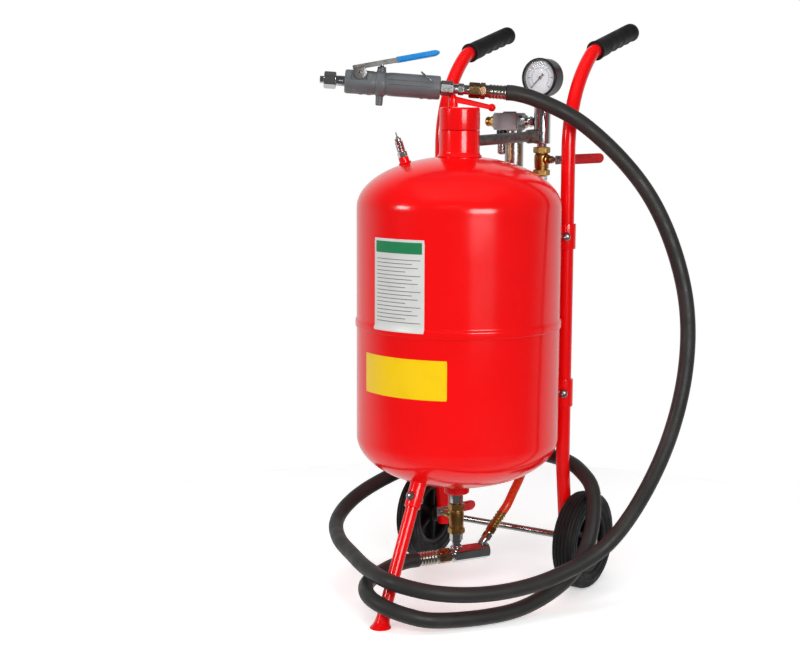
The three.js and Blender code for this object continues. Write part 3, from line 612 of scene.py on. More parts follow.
COPPER = metal("yellow_passivate", (0.56, 0.34, 0.21), 0.18, 0.32, (0.40, 0.21, 0.11))
NICKEL = metal("nickel_crimp", (0.48, 0.44, 0.38), 0.18, 0.32, (0.34, 0.29, 0.23))
ALLOY = cast_alloy()
CHEEK = metal("trigger_steel", (0.50, 0.48, 0.46), 0.26, 0.40, (0.38, 0.36, 0.34))
BLUE = rubber("blue_dip", (0.010, 0.235, 0.62), 0.22, 0.34, 500, 0.00004)
FILTER = metal("filter_alloy", (0.36, 0.33, 0.34), 0.34, 0.50, (0.28, 0.255, 0.265), 700, 0.00006)
PIPE = galvanised()
DIAL = printed("dial_enamel", (0.80, 0.85, 0.88), 0.45)
INK = printed("dial_ink", (0.07, 0.20, 0.42), 0.5)
WHITE = printed("label_white", (0.66, 0.66, 0.64))
GREEN = printed("label_green", (0.012, 0.21, 0.075))
GREY = printed("label_grey", (0.16, 0.16, 0.16))
YELLOW = printed("label_yellow", (0.90, 0.58, 0.001))
LENS = clear_glass()
ORANGE = air_hose_plastic()

# ---------------------------------------------------------------- hoses
# The blast hose: mixing block, out past the leg, round behind the tank, past the leg again, then one
# high loop to the gun. Metres from the tank's axis, the same points as the CAD solid.
HOSE_ROUTE = [
    (-0.060, -0.118, 0.0675),
    (-0.064, -0.180, 0.057),
    (-0.049, -0.213, 0.053),
    (-0.019, -0.241, 0.049),
    (0.018, -0.2505, 0.042),
    (0.055, -0.240, 0.032),
    (0.088, -0.211, 0.022),
    (0.165, -0.083, 0.0175),
    (0.195, -0.005, 0.035),
    (0.211, 0.045, 0.060),
    (0.218, 0.088, 0.098),
    (0.212, 0.124, 0.150),
    (0.195, 0.150, 0.192),
    (0.162, 0.170, 0.214),
    (0.118, 0.189, 0.226),
    (-0.025, 0.212, 0.226),
    (-0.105, 0.199, 0.214),
    (-0.167, 0.161, 0.196),
    (-0.227, 0.055, 0.156),
    (-0.239, -0.008, 0.130),
    (-0.225, -0.060, 0.111),
    (-0.183, -0.110, 0.098),
    (-0.115, -0.1605, 0.090),
    (-0.047, -0.2065, 0.0855),
    (0.025, -0.2345, 0.081),
    (0.095, -0.207, 0.069),
    (0.160, -0.124, 0.0605),
    (0.218, -0.018, 0.074),
    (0.272, 0.076, 0.1229),
    (0.335, 0.139, 0.268),
    (0.3575, 0.181, 0.430),
    (0.341, 0.195, 0.570),
    (0.280, 0.175, 0.725),
    (0.180, 0.119, 0.845),
    (0.107, 0.073, 0.889),
]
AIR_ROUTE = [
    (0.0515, 0.112, 0.170),
    (0.051, 0.138, 0.193),
    (0.050, 0.160, 0.220),
    (0.050, 0.177, 0.250),
    (0.052, 0.189, 0.290),
    (0.057, 0.194, 0.345),
    (0.063, 0.195, 0.410),
    (0.068, 0.192, 0.480),
    (0.072, 0.188, 0.550),
    (0.074, 0.183, 0.620),
    (0.075, 0.1805, 0.672),
    (0.073, 0.175, 0.706),
]


def in_mm(route):
    return [Vector(p) / MM for p in route]


def make_blast_hose():
    start = [block_point(s) for s in (-80.4, -99)]
    end = [gun_point(s) for s in (93, 80.5)]
    line = smooth_line([*start, *in_mm(HOSE_ROUTE), *end], 14)
    shape = sweep(line, HOSE_D / 2 / MM, 28)
    made = piece("blast_hose_look", shape, HOSE, ROOT, ["blast_hose"])
    return made, [place(p) for p in line]


def make_air_hose():
    start = [AIR_ROOT + AIR_DIR * s for s in (68.4, 84)]
    end = [Vector((*POST, z)) for z in (724, 734.6)]
    line = smooth_line([*start, *in_mm(AIR_ROUTE), *end], 10)
    piece("air_hose_look", sweep(line, AIR_D / 2 / MM, 24), ORANGE, ROOT, ["air_hose"])


def crimped(at, axis, big, collar, length, rings):
    """A crimped ferrule: a collar, then a sleeve pressed into flat rings."""
    profile = [(0, 0), (collar, 0), (collar, 5), (big, 7.5)]
    pressed = big - 0.9
    pitch = (length - 12) / rings
    for i in range(rings):
        z = 9 + i * pitch
        profile += [(big, z), (pressed, z + 0.28 * pitch)]
        profile += [(pressed, z + 0.62 * pitch), (big, z + 0.9 * pitch)]
    profile += [(big, length - 0.8), (big - 0.8, length), (0, length)]
    return turned(profile, at, axis, 48, soft=0.5, steps=2)


blast_hose, blast_line = make_blast_hose()
make_air_hose()
ferrule_lower = stand_in("hose_ferrule_lower", crimped(block_point(-38.3), -BLOCK_DIR, 13, 11.5, 41.6, 5),
                         NICKEL)
ferrule_upper = stand_in("hose_ferrule_upper", crimped(gun_point(44.5), GUN_DIR, 12.5, 11, 35.5, 4),
                         NICKEL)


# ---------------------------------------------------------------- tank
def head_curve(hole, radius, height):
    """The outline of a domed head, from a hole at its top to the straight wall."""
    steps = 26
    start = math.asin(hole / radius)
    angles = [start + (math.pi / 2 - start) * i / steps for i in range(steps + 1)]
    return [(radius * math.sin(a), height * math.cos(a)) for a in angles]


def shell_radius(z):
    """Outside of the straight wall at a height: the upper shell's rim is joggled over the lower one."""
    if SEAM - 5 <= z < SEAM + 6:
        return TANK_R + 2.3
    if SEAM + 6 <= z < SEAM + 10:
        return TANK_R + 2.3 * (SEAM + 10 - z) / 4
    return TANK_R


def tank_shells():
    wall, hole = 3, 9.5
    outside = [(r, LOW_TANGENT - h) for r, h in head_curve(hole, TANK_R, HEAD)]
    inside = [(r, LOW_TANGENT - h) for r, h in head_curve(hole, TANK_R - wall, HEAD - wall)]
    rim = [(TANK_R, SEAM + 4.5), (TANK_R - wall, SEAM + 4.5)]
    lower = revolve([*outside, *rim, *reversed(inside)], sides=160, closed=True)
    stand_in("tank_lower_shell", lower, RED, 25)

    hole = 29
    outside = [(r, TOP_TANGENT + h) for r, h in head_curve(hole, TANK_R, HEAD)]
    inside = [(r, TOP_TANGENT + h) for r, h in head_curve(hole, TANK_R - wall, HEAD - wall)]
    lap = TANK_R + 0.3
    joggle = [(lap, SEAM - 5), (lap + 2, SEAM - 5), (lap + 2, SEAM + 6), (TANK_R, SEAM + 10), outside[-1]]
    joggle = soften(joggle, 2, 4)
    rest = [(TANK_R - wall, SEAM + 10), (lap, SEAM + 6)]
    upper = revolve([*joggle, *reversed(outside[:-1]), *inside, *rest], sides=160, closed=True)
    seam = bead(circle((0, 0, SEAM - 4.4), UP, TANK_R + 0.7, 360), 1.3)
    stand_in("tank_upper_shell", [upper, seam], RED, 25)

    pad = [(8.6, 186), (21, 186), (23, 188), (23, 203.6), (8.6, 203.6)]
    pad = turned(pad, sides=64, soft=0.8, closed=True)
    stand_in("outlet_pad", [pad, bead(circle((0, 0, 204.4), UP, 24), 1.8)], RED)


def filler():
    top = extent("filler_neck")[1].z
    profile = [(30, 789.2), (38.4, 788.6), (37.6, 791), (36, 793.6), (NECK_R, 797), (NECK_R, top - 0.8)]
    profile += [(NECK_R - 0.8, top), (32.5, top), (32.5, top - 3.5), (30, top - 3.5)]
    neck = turned(profile, sides=96, soft=0.8, closed=True)
    stand_in("filler_neck", [neck, bead(circle((0, 0, 789.4), UP, 37.2), 2.0)], RED)

    gasket = square(28.9, 32.2, top - 3.2, top - 0.3)
    stand_in("lid_gasket", turned(gasket, sides=64, soft=0.9, closed=True), SEAL)

    base, crown = top + 0.6, extent("filler_lid")[1].z
    profile = [(0, top - 8.5), (28.5, top - 8.5), (28.5, base), (NECK_R, base)]
    profile += [(NECK_R, crown - 2.5), (NECK_R - 2.5, crown), (0, crown)]
    stand_in("filler_lid", turned(profile, sides=96, soft=1.2, steps=4), RED)

    out = heading(GUN_AZ)
    hub = out * -12
    lever_droop = 12.3
    turn = math.radians(lever_droop)
    droop = out * math.cos(turn) - UP * math.sin(turn)
    over = out * math.sin(turn) + UP * math.cos(turn)
    start = hub + UP * 888.4
    post = [(0, 0), (8.5, 0), (8.5, 15), (7.5, 18.7), (0, 18.7)]
    post = turned(post, hub + UP * (crown + 0.3), UP, 40, soft=1.2)
    side = over.cross(droop)
    web = plate([(2, 2.4), (65, 2.0), (65, 4.2), (2, 5.5)], 12.6, start, droop, over, 0.5)
    cheek = [(2, -5.5), (65, -4.2), (65, 4.0), (2, 5.1)]
    cheeks = [plate(cheek, 2.2, start + side * (5.2 * s), droop, over, 0.6) for s in (-1, 1)]
    bolt = hexagon(9, 0, 3, hub + UP * (crown + 18.6), UP)
    end = [ball(start + droop * 69, 6.85, 32, 16), rod(start + droop * 60, start + droop * 66, 4.4, 24)]
    stand_in("lid_lever", [post, web, *cheeks, *end, bolt], RED)


def relief_valve():
    turn = math.radians(RELIEF_LEAN)
    out = heading(RELIEF_AZ)
    foot = out * RELIEF_R + UP * (TOP_TANGENT + HEAD * math.sqrt(1 - (RELIEF_R / TANK_R) ** 2))
    axis = out * math.sin(turn) + UP * math.cos(turn)
    stub = turned([(0, -2), (9.6, -2), (9, 2), (9, 12), (0, 12)], foot, axis, 40, soft=0.8)
    stand_in("relief_stub", [stub, bead(circle(foot + axis * 1.2, axis, 9.8), 1.5)], RED)
    skirt = [(0, 20.6), (6.8, 20.6), (6.8, 22), (7.6, 24)]
    for z in range(25, 38, 3):
        skirt += [(7.6, z), (6.9, z + 0.8), (6.9, z + 1.6), (7.6, z + 2.4)]
    skirt += [(7.6, 39.5), (3.1, 39.5), (3.1, 30), (0, 30)]
    barrel = turned(skirt, foot, axis, 40, soft=0.3, steps=2)
    stand_in("relief_body", [hexagon(15, 12.3, 21, foot, axis), barrel], CHROME)
    spindle = [(0, 31), (2.8, 31), (2.8, 40), (5.8, 40), (5.8, 45), (2.6, 46.5), (2.6, 49), (0, 49)]
    matrix = aimed(foot + axis * 51.5, axis)
    eye_r = 4.2
    turns = [a * math.pi / 20 for a in range(40)]
    eye = [matrix @ Vector((0, eye_r * math.cos(a), eye_r * math.sin(a))) for a in turns]
    stand_in("relief_stem", [turned(spindle, foot, axis, 32, soft=0.5), sweep(eye, 1.1, 12, True)],
             ZINC)


def patch(z0, z1, az0, az1, lift, thick=0.18, corner=3.0):
    """A sheet of film bent round the wall, with rounded corners."""
    count_a = max(8, int(abs(az1 - az0) / 1.5))
    bends = {z for z in (SEAM - 5, SEAM + 6, SEAM + 10) if z0 < z < z1}
    heights = sorted({z0 + (z1 - z0) * i / 24 for i in range(25)} | bends)
    points, faces, grid = [], [], []
    half = (az1 - az0) / 2
    mid = (az0 + az1) / 2
    for z in heights:
        near = min(z - z0, z1 - z)
        inset = corner - math.sqrt(max(0, corner**2 - (corner - near) ** 2)) if near < corner else 0
        reach = half - math.degrees(inset / TANK_R)
        row = []
        for i in range(count_a + 1):
            a = mid - reach + 2 * reach * i / count_a
            pair = []
            for r in (lift, lift + thick):
                points.append(heading(a) * (shell_radius(z) + r) + UP * z)
                pair.append(len(points) - 1)
            row.append(pair)
        grid.append(row)
    rows, columns = len(grid), count_a + 1
    for i in range(rows - 1):
        for k in range(columns - 1):
            a, b, c, d = grid[i][k], grid[i][k + 1], grid[i + 1][k + 1], grid[i + 1][k]
            faces.append([a[1], b[1], c[1], d[1]])
            faces.append([d[0], c[0], b[0], a[0]])
    rim = [grid[0][k] for k in range(columns)] + [grid[i][-1] for i in range(1, rows)]
    rim += [grid[-1][k] for k in range(columns - 2, -1, -1)] + [grid[i][0] for i in range(rows - 2, 0, -1)]
    for a, b in zip(rim, rim[1:] + rim[:1]):
        faces.append([a[0], b[0], b[1], a[1]])
    return points, faces


def labels():
    """Two plain stickers with no lettering: a banded and ruled white sheet, and a yellow plate."""
    left, right = -109.8, -76.1
    piece("label_sheet", patch(499.5, 656, left, right, 0.08, corner=1.0), WHITE, ROOT)
    piece("label_band", patch(632, 651.5, left + 1.4, right - 1.4, 0.27, 0.06, 1.0), GREEN, ROOT)
    rules = []
    for i in range(17):
        z = 621 - 6.6 * i
        short = (0.0, 5.0, 1.5, 9.0)[i % 4]
        rules.append(patch(z, z + 1.3, left + 2.2, right - 2.2 - short, 0.27, 0.05, 0.4))
    piece("label_rules", rules, GREY, ROOT)
    piece("label_plate", patch(387, 455, -119, -63.5, 0.08, corner=1.0), YELLOW, ROOT)


tank_shells()
filler()
relief_valve()
labels()


# ---------------------------------------------------------------- trolley
def handle_line(x, low_z, grip_length):
    points = [Vector((x, AXLE_Y + (WHEEL_R - low_z) * 16 / 142, low_z))]
    foot = points[0]
    knee = Vector((x, TUBE_Y + 1, 222))
    points += [foot.lerp(knee, t) for t in (0.3, 0.6, 0.85)]
    points += [knee, Vector((x, TUBE_Y + 0.3, 230)), Vector((x, TUBE_Y, 238))]
    points += [Vector((x, TUBE_Y, z)) for z in (330, 430, 520, 620, 720, 801.5)]

    def bend(radius, start, end, steps):
        p = points[-1]
        cy = p.y + radius * math.cos(math.radians(start))
        cz = p.z - radius * math.sin(math.radians(start))
        for i in range(1, steps + 1):
            a = math.radians(start + (end - start) * i / steps)
            points.append(Vector((x, cy - radius * math.cos(a), cz + radius * math.sin(a))))

    bend(215, 0, 50, 24)
    bend(45, 50, GRIP_LEAN, 10)
    if grip_length:
        turn = math.radians(GRIP_LEAN)
        points.append(points[-1] + Vector((0, math.sin(turn), math.cos(turn))) * grip_length)
    return points


def grip(x):
    """A moulded sleeve: a rolled mouth, four finger scallops underneath and a domed end."""
    start = handle_line(x, 74, 0)[-1]
    turn = math.radians(GRIP_LEAN)
    along = Vector((0, math.sin(turn), math.cos(turn)))
    dome = 13
    barrel = GRIP_L - dome
    first_finger, finger_pitch, finger_width = 52, 26, 8.5

    def reach(angle, r, h):
        below = max(0.0, -math.cos(angle))
        fingers = [(h - first_finger - finger_pitch * i) / finger_width for i in range(4)]
        scallop = max(math.exp(-(f**2)) for f in fingers)
        ridge = 0.22 * math.sin(h * 2.6) if 30 < h < barrel - 4 and r > 14 else 0
        return r - (5.5 * scallop * below**1.3 + ridge) * min(1.0, r / 12)

    profile = [(13.4, 1.0), (17.8, 1.0), (18.2, 2.0), (18.0, 5.5), (17.2, 7.0)]
    rings = 116
    profile += [(17.0, 7.5 + (barrel - 7.5) * i / rings) for i in range(rings)]
    bends = [math.radians(9 * i) for i in range(10)]
    profile += [(17.0 * math.cos(a), barrel + dome * math.sin(a)) for a in bends]
    profile += [(0, GRIP_L)]
    return revolve([(0, 1.0), *profile], start, along, 48, radius_of=reach)


def bracket(name, x, low, high):
    """A sleeve round the tube and a web to the wall, with a dome bolt on the outer face."""
    inward = Vector((-x, -TUBE_Y, 0)).normalized()
    sideways = UP.cross(inward)
    centre = Vector((x, TUBE_Y, (low + high) / 2))
    sleeve = square(12.9, 16, low, high)
    sleeve = turned(sleeve, (x, TUBE_Y, 0), UP, 48, soft=0.9, closed=True)
    reach = Vector((x, TUBE_Y)).length - TANK_R
    outline = [(12.6, -9), (reach - 0.4, -12), (reach - 0.4, 12), (12.6, 9)]
    web = plate(outline, high - low - 1, centre, inward, sideways, 1.0)
    toward = math.degrees(math.atan2(TUBE_Y, x))
    beads = []
    for z in (low + 1, high - 1):
        line = [heading(toward + a) * (TANK_R + 0.8) + UP * z for a in (-4, -2, 0, 2, 4)]
        beads.append(bead(line, 1.5, closed=False))
    stand_in(name, [sleeve, web, *beads], RED)
    out = heading(-67)
    at = centre + out * 16
    dome = [(0, -2), (5.2, -2), (5.2, 0), (8.2, 0), (8.2, 1.0), (7.4, 2.8), (5.2, 4.6)]
    dome += [(2.6, 5.6), (2.2, 5.6), (1.9, 4.2), (0, 4.2)]
    piece(name + "_bolt", turned(dome, at, out, 32, soft=0.4, steps=2), ZINC, ROOT)


def trolley():
    for side, x in (("left", -TUBE_X), ("right", TUBE_X)):
        tube = sweep(handle_line(x, 74, 155), TUBE_R, 40, bore=11)
        stand_in("handle_tube_" + side, [tube], RED, 40)
        stand_in("grip_" + side, grip(x), GRIP, 50)
        for level in ("lower", "upper"):
            node = f"bracket_{level}_{side}"
            low, high = extent(node)
            bracket(node, x, low.z, high.z)
    half = extent("axle")[1].x
    end = [(0, half), (7, half), (9.6, half - 1.2), (10, half - 5), (AXLE_R, half - 5)]
    profile = [(r, -h) for r, h in end] + end[::-1]
    stand_in("axle", turned(profile, (0, AXLE_Y, WHEEL_R), (1, 0, 0), 48, soft=0.7), STEEL)


def tyre(side):
    """Solid rubber tyre: four tread grooves and two rings on each wall."""
    x = middle("tyre_" + side).x
    half = [(58.3, 17.0), (61, 17.6), (61.6, 18.6), (64, 19.0), (64.6, 18.3), (71, 19.4), (71.6, 20.2)]
    half += [(74, 20.2), (74.6, 19.4), (79, 19.6), (83, 18.9), (85.6, 17.4), (87.2, 15.2), (86.0, 14.4)]
    half += [(86.0, 13.2), (88.0, 12.4), (WHEEL_R, 11), (WHEEL_R, 8.0), (86.2, 7.4), (86.2, 5.8)]
    half += [(WHEEL_R, 5.2), (WHEEL_R, 1.2), (86.2, 0.8)]
    profile = half + [(r, -h) for r, h in reversed(half)]
    shape = turned(profile, (x, AXLE_Y, WHEEL_R), (1, 0, 0), 128, soft=0.7, steps=2, closed=True)
    stand_in("tyre_" + side, shape, TYRE)


def wheel_hub(side):
    """Moulded hub: a stepped rim, six ribbed spokes with webs between them, and a boss."""
    node = "wheel_hub_" + side
    x = middle(node).x
    centre = Vector((x, AXLE_Y, WHEEL_R))
    across = Vector((1, 0, 0))
    web = square(14, 52, -1.6, 1.6)
    rim = [(50, -12), (52.2, -16), (58, -16.5), (58, 16.5), (52.2, 16), (50, 12), (51.4, 2), (51.4, -2)]
    boss = [(6.6, -20), (13, -20), (16, -18), (16, 18), (13, 20), (6.6, 20)]
    shapes = [
        turned(rim, centre, across, 96, soft=0.8, closed=True),
        turned(boss, centre, across, 48, soft=0.8, closed=True),
        turned(web, centre, across, 72, soft=0.4, closed=True),
    ]
    for i in range(6):
        turn = math.radians(60 * i + 30)
        out = Vector((0, math.cos(turn), math.sin(turn)))
        outline = [(12, -5), (54, -4), (54, 4), (12, 5)]
        shapes.append(plate(outline, 24, centre, out, out.cross(across), 1.2))
        lip = [(16, -2), (51, -1.6), (51, 1.6), (16, 2)]
        shapes.append(plate(lip, 27, centre, out, out.cross(across), 0.8))
    stand_in(node, shapes, HUB)


def front_leg():
    turn = math.radians(LEG_SLOPE)
    along = Vector((0, math.sin(turn), math.cos(turn)))
    foot = Vector((0, LEG_FOOT_Y, 0))
    socket_from, bolt_at = 212, 229.8

    def at(s):
        return foot + along * s

    socket = square(11.4, 14, 0, 62)
    socket = turned(socket, at(socket_from), along, 48, soft=0.8, closed=True)
    stand_in("leg_socket", [socket, weld_on_head(at(socket_from), along, 14.6)], RED)
    tube = sweep([at(s) for s in (6, 60, 120, 180, 240, 262)], 11, 40)
    flare = [(0, 0), (18.5, 0), (18.2, 1.6), (15.2, 5), (13.2, 10), (12.2, 17), (11.4, 26), (0, 26)]
    points, faces = turned(flare, foot + Vector((0, 1, 0)), UP, 48, soft=2.0)
    trumpet = [p + Vector((0, p.z * math.tan(turn), 0)) for p in points], faces
    stand_in("leg", [tube, trumpet], RED, 40)
    bolt = at(bolt_at)
    front = Vector((0, -math.cos(turn), math.sin(turn)))
    dome = [(0, 14.4), (8, 14.4), (8.2, 15.4), (7.4, 17.2), (5, 18.8), (2.6, 19.5), (0, 19.7)]
    shapes = [rod(bolt - front * 21, bolt + front * 16, 3.9, 24)]
    shapes += [revolve(dome, bolt, front, 32), hexagon(13, -20, -14.6, bolt, front)]
    shapes += [rod(bolt - front * 14.9, bolt - front * 14.1, 8.2, 32, 0.2)]
    stand_in("leg_bolt", shapes, ZINC)


def weld_on_head(at, along, radius):
    """The bead where a leaning tube of that radius meets the lower head."""
    matrix = aimed(at, along)
    line = []
    for k in range(72):
        a = 2 * math.pi * k / 72
        start = matrix @ Vector((radius * math.cos(a), radius * math.sin(a), 0))
        low, high = 0.0, 120.0
        for _ in range(24):
            s = (low + high) / 2
            p = start + along * s
            inside = (p.x**2 + p.y**2) / TANK_R**2 + ((p.z - LOW_TANGENT) / HEAD) ** 2 < 1
            low, high = (low, s) if inside else (s, high)
        line.append(start + along * low)
    return bead(line, 1.7)


trolley()
for wheel in ("left", "right"):
    tyre(wheel)
    wheel_hub(wheel)
front_leg()


# ---------------------------------------------------------------- valves and fittings
def threaded(at, axis, radius, h0, h1, pitch=1.6):
    """A short thread, drawn as close rings."""
    profile = [(0, h0)]
    h = h0
    while h + pitch <= h1:
        profile += [(radius - 0.7, h), (radius, h + pitch * 0.45), (radius, h + pitch * 0.55)]
        h += pitch
    profile += [(radius - 0.7, h1), (0, h1)]
    return revolve(profile, at, axis, 36)


def ball_valve(name, x, y, low, high, stem, az, reach, sweep_to, length, sleeve_from, drop):
    """A forged brass ball valve, its stem with gland and lever nut, and the lever."""
    base = Vector((x, y, 0))
    out = heading(az)
    centre = base + UP * stem
    body = [(0, low + 7), (11.4, low + 7), (11.4, low + 13), (12.8, low + 15.5), (13.3, stem - 7)]
    body += [(13.6, stem), (13.3, stem + 7), (12.6, high - 14), (11.2, high - 12)]
    body += [(11.2, high - 7), (0, high - 7)]
    gland = [(0, 10), (9.2, 10), (9.2, 15.5), (6.8, 17), (6.8, 25), (0, 25)]
    shoulder = square(0, 13.2, low + 13, low + 15)
    shapes = [
        turned(body, base, UP, 56, soft=1.4, steps=4),
        hexagon(27, low, low + 11, base, UP),
        hexagon(27, high - 11.4, high, base, UP),
        turned(gland, centre, out, 40),
        turned(shoulder, base, UP, 56, soft=0.4),
    ]
    stand_in(name + "_valve_body", shapes, BRASS)
    spindle = [
        turned(square(0, 3.2, 6, reach), centre, out, 28, soft=0.4),
        hexagon(10, 25.4, 29.4, centre, out),
        hexagon(9, reach - 3.2, reach + 0.8, centre, out),
    ]
    stand_in(name + "_valve_ball", [*spindle, ball(centre, 9.3)], ZINC)
    along = heading(sweep_to)
    turn = math.radians(drop)
    line = along * math.cos(turn) - UP * math.sin(turn)
    over = along * math.sin(turn) + UP * math.cos(turn)
    at = centre + out * (reach - 5)
    outline = [(-9, -8), (sleeve_from + 5, -6), (sleeve_from + 5, 6), (-9, 8)]
    strip = plate(outline, 3, at, line, over, 0.5, 2, 2.5)
    body_name = BODY_OF[name + "_valve_lever"]
    outline = [(sleeve_from, -9), (length - 8, -9), (length, -4.5)]
    outline += [(x, -y) for x, y in reversed(outline)]
    sleeve = plate(outline, 9, at, line, over, 2.6, 4, 5.5)
    stand_in(name + "_valve_lever", sleeve, SLEEVE, 50)
    piece(name + "_lever_strip", strip, ZINC, body_name)


def outlet_line():
    base = Vector((0, 0, 0))
    shapes = [hexagon(20.5, 167.2, 185, base, UP), rod((0, 0, 166.8), (0, 0, 186.4), 9.6)]
    shapes.append(threaded(base, UP, 8.2, 185, 199))
    stand_in("outlet_nipple", shapes, CHROME)
    collar = turned(square(8.3, 12.5, 184.4, 190), sides=40, closed=True)
    piece("outlet_bushing", collar, BRASS, ROOT)
    ball_valve("outlet", 0, 0, 111.5, 166.4, 145, 173, 42, 83, 98, 30, 3)
    shapes = [hexagon(21, 98.7, 111.1, base, UP), rod((0, 0, 85.9), (0, 0, 100), 7.4),
              turned(square(0, 9.4, 95, 98.9), sides=40, soft=0.5)]
    stand_in("lower_nipple", shapes, CHROME)

    neck = square(0, 11.5, -14, -7)
    shapes = [hexagon(BLOCK_AF, -7.5, 65, block_point(0), BLOCK_DIR)]
    shapes.append(turned(neck, block_point(0), BLOCK_DIR, 48, soft=0.8))
    boss = [(0, 0), (11, 0), (11, 3), (8.6, 5), (0, 5)]
    shapes.append(turned(boss, (0, 0, BLOCK_Z + 11), UP, 40, soft=0.8))
    stand_in("mixing_block", shapes, CHROME)
    plug = [(0, 0), (4.6, 0), (4.6, 4.5), (3.4, 6.5), (0, 6.5)]
    plug = turned(plug, block_point(6, BLOCK_Z + 12), UP, 32, soft=0.8)
    piece("mixing_block_plug", plug, CHROME, ROOT)

    shapes = [hexagon(17, 10, 22, AIR_ROOT, AIR_DIR)]
    shapes.append(rod(AIR_ROOT - AIR_DIR * 3, AIR_ROOT + AIR_DIR * 12, 7.5))
    shapes.append(rod(AIR_ROOT + AIR_DIR * 20, AIR_ROOT + AIR_DIR * 24.2, 7))
    stand_in("air_nipple", shapes, CHROME)
    profile = [(0, 35.2), (7.8, 35.2)]
    for i in range(5):
        h = 37 + 6.1 * i
        profile += [(7.6, h), (9.1, h + 1.6), (9.3, h + 3.2), (7.7, h + 4.8)]
    profile += [(8.4, 68), (0, 68)]
    barb = turned(profile, AIR_ROOT, AIR_DIR, 40, soft=0.5, steps=2)
    stand_in("air_barb", [hexagon(17, 24.3, 36, AIR_ROOT, AIR_DIR), barb], BRASS)

    shapes = [hexagon(24.5, -23.7, 0, block_point(-14.3), BLOCK_DIR)]
    stand_in("hose_nut_lower", shapes, COPPER)
    band = square(9, 13.0, 0, 4.4)
    band = turned(band, block_point(-28), -BLOCK_DIR, 48, soft=0.5, closed=True)
    piece("hose_nut_lower_band", band, DARK_BRASS, ROOT)


def manifold():
    base = Vector((*POST, 0))
    profile = [(0, 735), (7.4, 735), (8.2, 737), (7.4, 739), (7.4, 744), (0, 744)]
    stand_in("inlet_barb", [hexagon(19, 743, 751.7, base, UP), turned(profile, base, UP, 36, soft=0.4)],
             CHROME)
    ball_valve("inlet", *POST, 752, 803.4, 781, -12, 46, 78, 124, 35, -0.5)
    profile = [(0, 803.8), (9, 803.8), (9, 809), (14, 809), (15, 810), (15, 891), (14, 892), (0, 892)]
    stand_in("manifold_post", turned(profile, base, UP, 56), CHROME)
    out = base.normalized()
    line = [out * 35.8 + UP * 815.75, out * 168 + UP * 823.0]
    pipe = [sweep(line, 9.5, 40)]
    pipe.append(rod(out * 150 + UP * 822, out * 166.8 + UP * 822.9, 12.5, 48, 1.0))
    pipe.append(bead(circle(out * 37.4 + UP * 815.9, out, 10.2, 60), 1.6))
    stand_in("manifold_pipe", pipe, PIPE)

    x0, x1 = -25, 28
    y = POST[1]
    shapes = [
        block((x0, y - 17, 833), (x1, y + 17, 864), 2.4),
        turned(square(0, 15.4, 831, 834), (12, y, 0), UP, 48, soft=0.5),
        turned([(0, 863), (13, 863), (12, 866.5), (0, 866.5)], (2, y, 0), UP, 48, soft=1.0),
    ]
    stand_in("filter_head", shapes, FILTER)
    nut = [hexagon(21, 28, 39, (0, y, 848), (1, 0, 0)), rod((38, y, 848), (55, y, 848), 8.2, 36),
           hexagon(17, 44, 50, (0, y, 848), (1, 0, 0))]
    piece("filter_nipple", nut, CHROME, ROOT)
    profile = [(0, 762), (13, 762), (17, 767), (17, 826.5), (15, 828), (15, 832.6), (0, 832.6)]
    skin = turned(profile, (12, y, 0), UP, 64, soft=1.0)
    slot = block((8.4, y - 22, 778), (15.6, y - 14.4, 815), 1.2)
    stand_in("filter_bowl", [cut(skin, slot)], STEEL, 30)
    # Painted reflection: a brass-coloured strip set inside the sight slot, standing in for the brownish
    # reflection seen through the slot.
    sight = block((8.8, y - 14.6, 778.4), (15.2, y - 13.4, 814.6), 0.3)
    piece("filter_sight_painted_reflection", sight, BRASS, ROOT)
    profile = [(0, 754.5), (4, 754.5), (4.6, 757), (4.6, 762.4), (0, 762.4)]
    drain = turned(profile, (12, y, 0), UP, 32, soft=0.5)
    piece("filter_drain", drain, BRASS, ROOT)
    collar = turned(square(0, 10, 818, 832.6), (-14, y, 0), UP, 40, soft=1.0)
    bowl = turned([(0, 788), (5, 788), (8, 791), (8, 818.4), (0, 818.4)], (-14, y, 0), UP, 40, soft=1.4)
    piece("filter_collar", collar, BLACK, ROOT)
    piece("filter_guard", bowl, STEEL, ROOT)

    at = Vector((-25.3, y, 848))
    left = Vector((-1, 0, 0))
    barrel = [(0, 8), (9, 8), (9, 12), (8, 13), (8, 15), (9, 16), (9, 19), (8, 20.5)]
    barrel += [(6.2, 20.5), (5.9, 9), (0, 9)]
    barrel = turned(barrel, at, left, 40, soft=0.4, steps=2)
    stand_in("inlet_coupler", [hexagon(20, 0, 8.5, at, left), barrel], BRASS)


